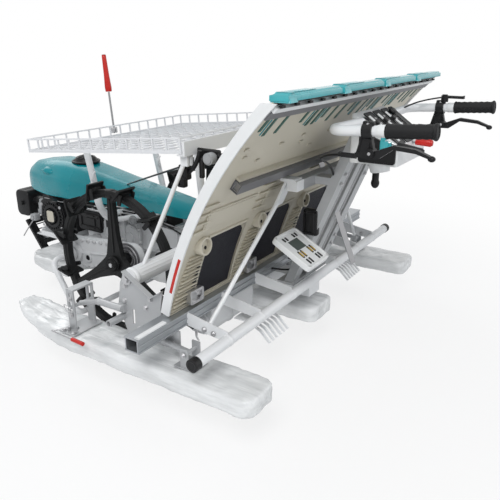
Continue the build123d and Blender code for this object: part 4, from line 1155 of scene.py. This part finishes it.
cheek.cut((-90, 134, 800), (1, 0, 0))
cheek.edges(lambda spot, way: spot.x < -145 and spot.z > 845).move(0, 0, -46)
cheek.edges(lambda spot, way: abs(way.y) > 0.9 and abs(spot.x + 90) > 2).round(8, 3)
cheek.faces(looks("y")).inset(5).push(0, -1.5, 0)
cheek.done(black_plastic, "chassis")
yoke = box("lift_yoke", -128, -104, 139, 158, 792, 822)
yoke.edges(lambda spot, way: abs(way.x) < 0.9).round(5, 3)
yoke.faces(looks("-x")).inset(5).push(-7, 0, 3)
yoke = yoke.done()
arm = box("yoke_arm", -118, -104, 139, 150, 815, 842)
arm.edges(runs("y")).round(4, 3)
arm.faces(looks("z")).inset(3).push(4, 0, 6)
yoke = as_one("lift_yoke", [yoke, arm.done()], stopper_teal, "chassis")
lamp_body = tube("lamp_shell", (-46, 0, 752), (-56, 0, 700), 38, 32, 30)
lamp_body.faces(lambda spot, way: way.z < -0.8).inset(5).push(1, 0, 6)
lamp_body.edges(lambda spot, way: spot.z < 703).round(3, 3)
lamp_body.done(white_plastic, "chassis")
knob = ball("choke_knob", (-42, 0, 662), 15, 10)
knob.faces(lambda spot, way: way.z > 0.7).push(0, 0, 22)
knob.all().grow(0.9, 0.9, 1.15, (-42, 0, 664))
knob.done(black_plastic, "chassis")
wire("choke_stem", [(-42, 0, 700), (-42, 0, 676)], 6, black_plastic, "chassis")
print("levers and lamp placed")

# %% [markdown]
# ## Handles
# A grip has ribs and a flange, each brake lever hangs in a black bracket and ends in a ball.

# %% Grips and brake lever brackets
line_up = (884 - 866) / (-313 + 22)


def bar_at(station, left=326):
    return (station, left, 866 + (station + 22) * line_up)


soft = tube("near_grip", bar_at(-311), bar_at(-183), 17.6, 36)
for k in range(13):
    soft.all().cut(bar_at(-302 + 9 * k), (1, 0, 0))
for k in range(0, 13, 2):
    station = -302 + 9 * k
    soft.edges(lambda spot, way: abs(spot.x - station) < 1.5 and abs(way.x) < 0.3)
    soft.grow(1, 1.08, 1.08, bar_at(station))
soft.faces(lambda spot, way: way.x < -0.8).inset(4).push(1.5, 0, 0)
soft = soft.done()
flange = ring("grip_flange", bar_at(-306), (1, 0, line_up), 17, 4.8, 40, 10).done()
inner = ring("grip_collar", bar_at(-186), (1, 0, line_up), 16, 4.2, 40, 10).done()
near_grip = as_one("near_grip", [soft, flange, inner], grip_rubber, "chassis")
settle(other_side(near_grip, "far_grip"), None, "chassis", "grip_rubber")
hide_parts("grips")
sleeve = tube("bar_sleeve", bar_at(-184), bar_at(-160), 16.2, 32)
sleeve.edges(lambda spot, way: abs(way.x) < 0.3).round(1.5, 2)
sleeve = sleeve.done(white_plastic, "chassis")
settle(other_side(sleeve, "bar_sleeve_far"), None, "chassis", "white_plastic")
web = box("lever_web", -160, -104, 320, 332, 806, 866)
web.faces(looks("z")).grow(0.42, 1.5, 1)
web.faces(runs("y")).inset(5).swell(-2)
web = web.done()
hinge = tube("lever_hinge", (-146, 312, 818), (-146, 340, 818), 12, 20)
hinge.faces(runs("y")).inset(3).swell(1.5)
hinge = hinge.done()
barrel = tube("cable_barrel", (-64, 326, 806), (-106, 326, 806), 7, 16)
barrel.faces(looks("x")).inset(1.6).push(8, 0, 0)
barrel = barrel.done()
end = ball("lever_ball", (-301, 326, 818), 8.5, 10).all().grow(1.15, 1, 0.9, (-301, 326, 818)).done()
tab = box("clamp_tab", -150, -120, 318, 334, 880, 898)
tab.edges(every).round(3.5, 3)
tab = tab.done()
near_lever = as_one("lever_bracket", [web, hinge, barrel, end, tab], black_plastic, "chassis")
settle(other_side(near_lever, "lever_bracket_far"), None, "chassis", "black_plastic")
bolts("clamp_bolts", [(-135, 334, 888), (-146, 340, 818)], (0, 1, 0), 4.5, zinc, "chassis")
bolts("clamp_bolts_far", [(-135, -318, 888), (-146, -312, 818)], (0, 1, 0), 4.5, zinc, "chassis")
post = tube("thumb_post", (-146, -326, 893), (-146, -326, 914), 12, 20)
post.faces(looks("z")).inset(3).push(0, 0, 3)
post = post.done()
thumb = box("thumb_blade", -202, -146, -333, -319, 905, 914)
thumb.faces(looks("-x")).push(-8, 0, 1).grow(1, 1.25, 1.2)
thumb.edges(lambda spot, way: spot.z > 912 and abs(way.y) < 0.5).round(2, 2)
as_one("thumb_lever", [post, thumb.done()], black_plastic, "chassis")
wire("brake_cable_near", [(-58, 326, 806), (-20, 322, 800), (30, 270, 776), (36, 170, 742), (64, 70, 660),
                          (120, 62, 500),
                          (188, 58, 330)], 3.2, black_plastic, "chassis")
wire("brake_cable_far", [(-58, -326, 806), (-20, -322, 800), (30, -270, 776), (36, -170, 742), (64, -70, 660),
                         (120, -62, 500), (188, -58, 330)], 3.2, black_plastic, "chassis")
wire("throttle_cable", [(-140, -318, 908), (-90, -300, 900), (-40, -250, 880), (-12, -160, 850),
                        (0, -120, 820)], 2.6,
     black_plastic, "chassis")
print("grips and levers ready")

# %% [markdown]
# ## The handle column
# Zinc rods run down between the channels, and the middle channel is perforated; its perforations are black
# pieces, painted shade in the holes.

# %% Column rods and perforations
def column_at(height, left, off=0.0):
    return (171 - 0.4133 * (height - 375) - off * 0.924, left, height - off * 0.382)


made, hole_shades = [], []
for left in (48, -48):
    made.append(wire("column_rod", [column_at(740, left, 8), column_at(560, left, 8),
                                    column_at(345, left, 8)], 6))
# The perforations are thin black slot pieces that stand for the shade inside the holes: painted shade.
for k in range(22):
    height = 380 + 16 * k
    spot = column_at(height, 0, 15.4)
    hole = box("slot", spot[0] - 1, spot[0] + 1, -5, 5, height - 4.5, height + 4.5)
    hole.edges(runs("x")).round(2, 2)
    hole_shades.append(hole.all().turn(-22.5, "Y", spot).done())
strip = box("column_strip", -1, 1, -18, 18, 360, 742)
strip.edges(runs("x")).round(3, 2)
strip.all().move(column_at(551, 0, 14.6)[0], 0, 0).turn(-22.5, "Y", column_at(551, 0, 14.6))
made.append(strip.done())
as_one("column_rods", made, grey_steel, "chassis")
as_one("column_slot_shade", hole_shades, black_plastic, "chassis")
bolts("column_bolts", [column_at(h, left, 17.5) for left in (95, -95) for h in (404, 436, 674, 706)],
      (-0.924, 0, -0.382),
      5.5, zinc, "chassis")
print("column dressed")

# %% [markdown]
# ## The lever gate
# A moulded box with a thick rounded rim, a dark window, and slots with brass levers; the slots are black
# pieces, painted shade in the openings.

# %% Lever gate
GATE_MID = (111.5, 193.5, 473.5)
GATE_SLOPE = 29.4
rim = box("gate_shell", 35, 188, 124, 263, 455, 474)
rim.edges(runs("z")).round(14, 5)
rim.faces(looks("z")).inset(9).push(0, 0, -3)
rim.edges(lambda spot, way: spot.z > 473).round(2.5, 3)
gate = rim.all().turn(GATE_SLOPE, "Y", GATE_MID).done(white_plastic, "chassis", angle=50)
darks, brasses, panes = [], [], []
pane = box("gate_pane", 108, 150, 168, 226, 470.4, 471.6)
pane.faces(looks("z")).inset(2).push(0, 0, -0.5)
panes.append(pane.all().turn(GATE_SLOPE, "Y", GATE_MID).done())
# Black pieces in the slots stand for the shade inside them: painted shade.
for left in (156, 172, 216, 232):
    for x0, x1 in ((48, 70), (76, 106), (154, 170)):
        slit = box("gate_slot", x0, x1, left - 4, left + 4, 470.6, 472.4)
        slit.edges(runs("z")).round(2, 2)
        darks.append(slit.all().turn(GATE_SLOPE, "Y", GATE_MID).done())
for left in (156, 172, 216, 232):
    blade = box("gate_blade", 80, 100, left - 2.2, left + 2.2, 470, 475)
    blade.edges(lambda spot, way: spot.z > 474).round(0.8, 2)
    brasses.append(blade.all().turn(GATE_SLOPE, "Y", GATE_MID).done())
as_one("gate_slot_shade", darks, black_plastic, "chassis")
as_one("gate_blades", brasses, brass, "chassis")
as_one("gate_panes", panes, dark_pane, "chassis")
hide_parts("lever_gate")
arm = box("gate_arm", 118, 152, 118, 130, 404, 470)
arm.edges(runs("y")).round(4, 3)
arm.done(white_paint, "chassis")
boot = box("valve_boot", 96, 150, 100, 124, 488, 578)
boot.edges(every).round(9, 4)
boot.faces(looks("y")).inset(7).push(0, 8, 0).inset(6).push(0, -4, 0)
boot.done(black_plastic, "chassis")
print("lever gate ready")

# %% [markdown]
# ## The planting part
# Bolts, bosses and lips on the rail, the end plates and the planting cases.

# %% Rail lips and end plate fittings
lips = []
for z, height in ((334, 5), (297, 5)):
    for x in (299.5, 348.5):
        lip = box("rail_lip", x, x + 5, -754, 754, z, z + height)
        lip.edges(runs("y")).round(1.6, 2)
        lips.append(lip.done())
groove = box("rail_bead", 300, 304, -754, 754, 314, 321)
groove.edges(runs("y")).round(1.6, 2)
lips.append(groove.done())
as_one("rail_lips", lips, drawn_aluminium, "chassis")
slide = box("rail_slide", 300, 316, 640, 752, 339.5, 346)
slide.edges(runs("y")).round(2, 2)
slide.faces(runs("y")).inset(2).swell(-3)
slide.done(white_plastic, "chassis")
made = []
near = [(420, 594, 340), (452, 594, 262), (380, 594, 262), (320, 594, 252), (400, 594, 372), (500, 594, 392),
        (506, 594, 344)]
made.append(bolts("plate_bolts", near, (0, 1, 0), 7))
big = bolt("beam_bolt", (485, 600, 419), (0, 1, 0), 12)
made.append(big)
plate_bolts = as_one("end_plate_bolts", made, zinc, "chassis")
settle(other_side(plate_bolts, "end_plate_bolts_far"), None, "chassis", "grey_steel")
BEAM_X, BEAM_Z = 485, 419
beam_rings = []
for left in (-575, -300, -214, -166, 60, 166, 214, 300, 575):
    band = ring("beam_band", (BEAM_X, left, BEAM_Z), (0, 1, 0), 27, 3.4, 40, 8)
    band.all().grow(1, 2.4, 1, (BEAM_X, left, BEAM_Z))
    beam_rings.append(band.done())
as_one("beam_bands", beam_rings, white_paint, "chassis")
ribs = []
for k in range(9):
    turn = radians(8 + 20 * k)
    spot = (BEAM_X + 27.6 * cos(turn), 0, BEAM_Z + 27.6 * sin(turn))
    flute = box("beam_flute", spot[0] - 1.4, spot[0] + 1.4, -560, 560, spot[2] - 1.4, spot[2] + 1.4)
    flute.edges(runs("y")).round(1, 2)
    ribs.append(flute.done())
as_one("beam_flutes", ribs, white_paint, "chassis")
print("rail and end plates fitted")

# %% Planting cases: bearing bosses, covers and arm details
made, darks, zincs = [], [], []
for middle in (300, -300):
    for left, way in ((middle - 120, -1), (middle + 120, 1)):
        boss = tube("case_boss", (360, left, 246), (360, left + way * 9, 246), 40, 32)
        boss.faces(lambda spot,
                   face: face.y * way > 0.9).inset(7).push(0, way * 3, 0).inset(10).push(0, way * 3, 0)
        made.append(boss.done())
        arm = box("arm_cap", 352, 418, left + way * 34, left + way * 42, 236, 314)
        arm.edges(runs("y")).round(14, 4)
        arm.faces(lambda spot, face: face.y * way > 0.9).inset(6).push(0, way * 2, 0)
        darks.append(arm.done())
        claw = box("claw", 344, 356, left + way * 22, left + way * 30, 198, 262)
        claw.faces(looks("-z")).grow(0.5, 0.5, 1).push(-8, 0, -12)
        zincs.append(claw.done())
        zincs.append(bolt("arm_bolt", (383, left + way * 44, 246), (0, way, 0), 7))
        zincs.append(bolt("arm_bolt", (398, left + way * 44, 296), (0, way, 0), 5.5))
    rib = box("case_seam", 304, 416, middle - 3, middle + 3, 194, 300)
    rib.edges(lambda spot, face: abs(face.y) > 0.9 and spot.z < 200).round(40, 8)
    made.append(rib.done())
    for x, z in ((330, 282), (392, 282), (322, 230), (400, 226)):
        lug = tube("seam_lug", (x, middle - 9, z), (x, middle + 9, z), 8, 14)
        lug.faces(runs("y")).inset(2).swell(1)
        made.append(lug.done())
    for dy in (-26, 26):
        guide = box("feed_guide", 352, 368, middle + dy - 14, middle + dy + 14, 338, 352)
        guide.edges(runs("y")).round(3, 2)
        guide.faces(looks("-x")).inset(3).push(2, 0, 0)
        made.append(guide.done())
as_one("planting_case_details", made, cast_white, "chassis")
as_one("arm_caps", darks, black_cast, "chassis")
as_one("claws", zincs, zinc, "chassis")
foot_blocks = []
for left in (500, 200, -100, -400):
    base = tray_station(366)
    foot = box("foot_block", base - 26, base - 8, left - 32, left + 32, 353, 396)
    foot.edges(runs("x")).round(6, 3)
    foot.faces(looks("-x")).inset(8).push(6, 0, 0)
    foot_blocks.append(foot.done())
    for dy, dz in ((-18, -6), (18, -6), (0, 16)):
        foot_blocks.append(bolt("foot_bolt", (base - 26, left + dy, 368 + dz), (-1, 0, 0), 5.5))
as_one("tray_foot_blocks", foot_blocks, zinc, "tray")
print("planting cases dressed")

# %% Guard bar, stays and float brackets
made = []
for left in (545, 370, 170, -170, -370, -545):
    band = ring("bar_band", (157, left, 287), (0, 1, 0), 15.5, 3, 32, 8)
    band.all().grow(1, 2.6, 1, (157, left, 287))
    made.append(band.done())
as_one("bar_bands", made, white_paint, "chassis")
bolts("stay_bolts", [(238, 550, 300), (205, 550, 296), (238, -540, 300), (205, -540, 296)], (0, 1, 0), 6,
      zinc, "chassis")
bolts("guide_bolts", [(184, 215, 640), (166, 215, 672), (184, -215, 640), (166, -215, 672)], (-0.86, 0, -0.5),
      6, zinc, "chassis")
near = [(700, 644, 262), (700, 644, 318), (251, 632, 250), (722, 660, 210), (678, 660, 210), (700, 628, 210)]
for k, ways in enumerate(((0, 1, 0), (0, 1, 0), (0, 1, 0), (0, 0, 1), (0, 0, 1), (0, 0, 1))):
    made_bolt = bolt("bracket_bolt_%d" % k, near[k], ways, 6.5)
    settle(made_bolt, zinc, "chassis")
    settle(other_side(made_bolt, "bracket_bolt_far_%d" % k), None, "chassis", "grey_steel")
clip = wire("pin_clip", [(690, 652, 288), (712, 656, 306), (724, 650, 290), (706, 654, 276), (684, 652, 280)],
            1.6, zinc, "chassis")
settle(other_side(clip, "pin_clip_far"), None, "chassis", "grey_steel")
cap_hole = ring("cap_rim", (157, 709, 287), (0, 1, 0), 13, 3, 28, 8).done(black_plastic, "chassis")
settle(other_side(cap_hole, "cap_rim_far"), None, "chassis", "black_plastic")
print("bars and brackets fitted")

# %% [markdown]
# ## Rack fittings
# Wire hooks hang from the legs. A strap behind the rear plate carries black clevis castings and a
# grey drum on each side.

# %% Hooks and clevises
hooks = []
for left in (190, -190):
    hooks.append(wire("leg_hook", [(1021, left + 12, 610), (1016, left + 30, 604), (1016, left + 34, 580),
                                   (1018, left + 22, 572), (1018, left + 20, 584)], 3.6))
as_one("leg_hooks", hooks, white_paint, "chassis")
darks = []
for x0, x1, y0, y1, z0, z1 in ((404, 438, 372, 398, 690, 736), (418, 446, 374, 396, 664, 700),
                               (352, 368, 372, 386, 700, 764),
                               (286, 312, 340, 372, 744, 776), (300, 388, 360, 369, 752, 788)):
    casting = box("clevis_block", x0, x1, y0, y1, z0, z1)
    casting.edges(every).round(5, 3)
    casting.faces(looks("y")).inset(5).push(0, -3, 0)
    darks.append(casting.done())
near_darks = as_one("clevis_castings", darks, black_cast, "chassis")
settle(other_side(near_darks, "clevis_castings_far"), None, "chassis", "black_cast")
link = wire("clevis_link", [(440, 385, 676), (418, 385, 704), (372, 385, 742), (362, 385, 784)], 7,
            black_cast, "chassis")
settle(other_side(link, "clevis_link_far"), None, "chassis", "black_cast")
drum = tube("clevis_drum", (330, 352, 762), (330, 390, 762), 18, 24)
drum.faces(looks("y")).inset(4).push(0, 3, 0)
near_drum = drum.done(grey_cast, "chassis")
settle(other_side(near_drum, "clevis_drum_far"), None, "chassis", "grey_cast")
clamps = []
for left in (6, -6):
    jaw = box("pole_clamp", 1098, 1116, left - 5, left + 5, 728, 752)
    jaw.edges(every).round(2.4, 2)
    clamps.append(jaw.done())
clamps.append(bolt("pole_bolt", (1117, 0, 738), (1, 0, 0), 6))
as_one("pole_clamps", clamps, zinc, "chassis")
print("rack fittings placed")

# %% [markdown]
# ## Film on the floats
# The floats are still in their transport film. Remeshing gives them an even skin, smoothing
# rounds it, and a cloudy displacement leaves it lightly crumpled.

# %% Film skin
crumple_cloud = bpy.data.textures.new("film_cloud", "CLOUDS")
crumple_cloud.noise_scale = 0.05
for name in ("side_float_left", "side_float_right", "centre_float"):
    skin = nodes[name].modifiers.new("skin", "REMESH")
    skin.mode = "VOXEL"
    skin.voxel_size = 0.008
    skin.use_smooth_shade = True
    soften = nodes[name].modifiers.new("soften", "SMOOTH")
    soften.iterations = 7
    soften.factor = 0.7
    film = nodes[name].modifiers.new("crumple", "DISPLACE")
    film.texture = crumple_cloud
    film.texture_coords = "LOCAL"
    film.strength = 0.009
    film.mid_level = 0.85
print("floats wrapped")


# %% [markdown]
# ## Under the hood
# Black ducts, a regulator and a tangle of hoses fill the space between the engine and the gears.

# %% Ducts and hoses
duct = box("cooling_duct", 1092, 1236, 105.5, 124, 322, 406)
duct.edges(runs("y")).round(16, 5)
duct.faces(looks("y")).inset(8).push(0, 5, 0).inset(14).push(0, -4, 0)
for station in (1130, 1160, 1190):
    duct.all().cut((station, 110, 360), (1, 0, 0))
duct.faces(lambda spot, way: way.y > 0.9 and 1131 < spot.x < 1189).inset(4).push(0, 3, 0)
duct = duct.done()
regulator = box("regulator", 1010, 1064, 105.5, 128, 356, 406)
regulator.edges(every).round(4, 3)
for station in (1022, 1034, 1046):
    regulator.all().cut((station, 110, 380), (1, 0, 0))
regulator.faces(lambda spot,
                way: way.y > 0.9 and (1022 < spot.x < 1034 or spot.x > 1046)).inset(1.5).push(0, 5, 0)
regulator = regulator.done()
elbow = tube("duct_elbow", (1240, 92, 400), (1300, 92, 424), 22, 28)
elbow.faces(lambda spot, way: way.x > 0.8).inset(4).push(12, 0, 2)
elbow.faces(lambda spot, way: way.x < -0.8).push(-14, 0, -10).grow(1.15, 1.15, 1.15)
as_one("engine_ducts", [duct, regulator, elbow.done()], black_plastic, "chassis")
hoses = [wire("hose", [(1210, 96, 424), (1120, 104, 428), (1040, 98, 418), (960, 92, 412), (900, 84, 396)],
              6.5),
         wire("hose", [(1180, 84, 416), (1100, 88, 414), (1010, 94, 430), (930, 70, 420), (850, 62, 400)], 5),
         wire("hose", [(1080, 118, 410), (1030, 120, 424), (980, 110, 404), (940, 96, 398)], 4),
         wire("hose", [(1000, 70, 412), (950, 80, 430), (890, 66, 424), (820, 52, 402), (770, 40, 384)], 5.5)]
as_one("engine_hoses", hoses, black_plastic, "chassis")
threads = [wire("line", [(1206, 112, 418), (1130, 122, 416), (1060, 116, 420), (960, 100, 426),
                         (860, 80, 410)], 1.6),
           wire("line", [(1150, 108, 430), (1060, 110, 436), (960, 86, 432), (880, 60, 418)], 1.4)]
as_one("bare_wires", threads, zinc, "chassis")
pump = tube("pump_barrel", (930, 66, 404), (930, 112, 404), 20, 28)
pump.faces(looks("y")).inset(4).push(0, 4, 0).inset(6).push(0, -3, 0)
pump.done(grey_cast, "chassis")
wire("bent_leg", [(1056, 190, 560), (1044, 190, 490), (1018, 176, 418), (990, 140, 404), (940, 100, 414),
                          (880, 80, 424), (820, 66, 430)], 10.5, white_paint, "chassis")
print("ducts, hoses and the bent leg")

# %% Grip of the sight pole
grip = tube("pole_grip", (1120.3, 0, 893.5), (1132.3, 0, 1036.0), 12.5, 28, 8.5)
for height in (910, 960, 1010):
    grip.all().cut((1126.3, 0, height), (0, 0, 1))
grip.edges(lambda spot, way: abs(way.z) < 0.3 and 905 < spot.z < 915).grow(1.12, 1.12, 1, (1121.7, 0, 910))
grip.faces(looks("z")).inset(2).push(0, 0, -1)
grip.edges(lambda spot, way: abs(way.z) < 0.3 and (spot.z < 897 or spot.z > 1034)).round(2, 3)
grip = grip.done(red_plastic, "chassis")
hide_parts("sight_grip")
print("pole grip ready")

# %% [markdown]
# ## The floor
# One large plane, pale and matte. It isn't part of the machine.

# %% Floor
bpy.ops.object.select_all(action="DESELECT")
bpy.ops.mesh.primitive_plane_add(size=60, location=(0, 0, -0.0005))
floor = bpy.context.object
floor.name = "studio_floor"
paper = Finish("floor_paper")
paper.set(Base_Color=shade(0.90, 0.90, 0.90), Roughness=0.9, Specular_IOR_Level=0.1)
lit = paper.node("LightPath", out="Is Camera Ray")
far = paper.node("VectorMath", {"operation": "LENGTH"}, out="Value",
                 Vector=paper.node("TexCoord", out="Object"))
away = paper.node("MapRange", {"interpolation_type": "SMOOTHSTEP"}, Value=far, From_Min=0.9, From_Max=2.6)
glow = paper.tree.nodes.new("ShaderNodeEmission")
glow.inputs["Color"].default_value = (1, 1, 1, 1)
glow.inputs["Strength"].default_value = 1.0
mix = paper.tree.nodes.new("ShaderNodeMixShader")
paper.feed(mix.inputs["Fac"], lit * (0.76 + 0.24 * away))
paper.tree.links.new(paper.shader.outputs[0], mix.inputs[1])
paper.tree.links.new(glow.outputs[0], mix.inputs[2])
paper.tree.links.new(mix.outputs[0], paper.output.inputs["Surface"])
floor.data.materials.append(paper.material)
print("floor laid")
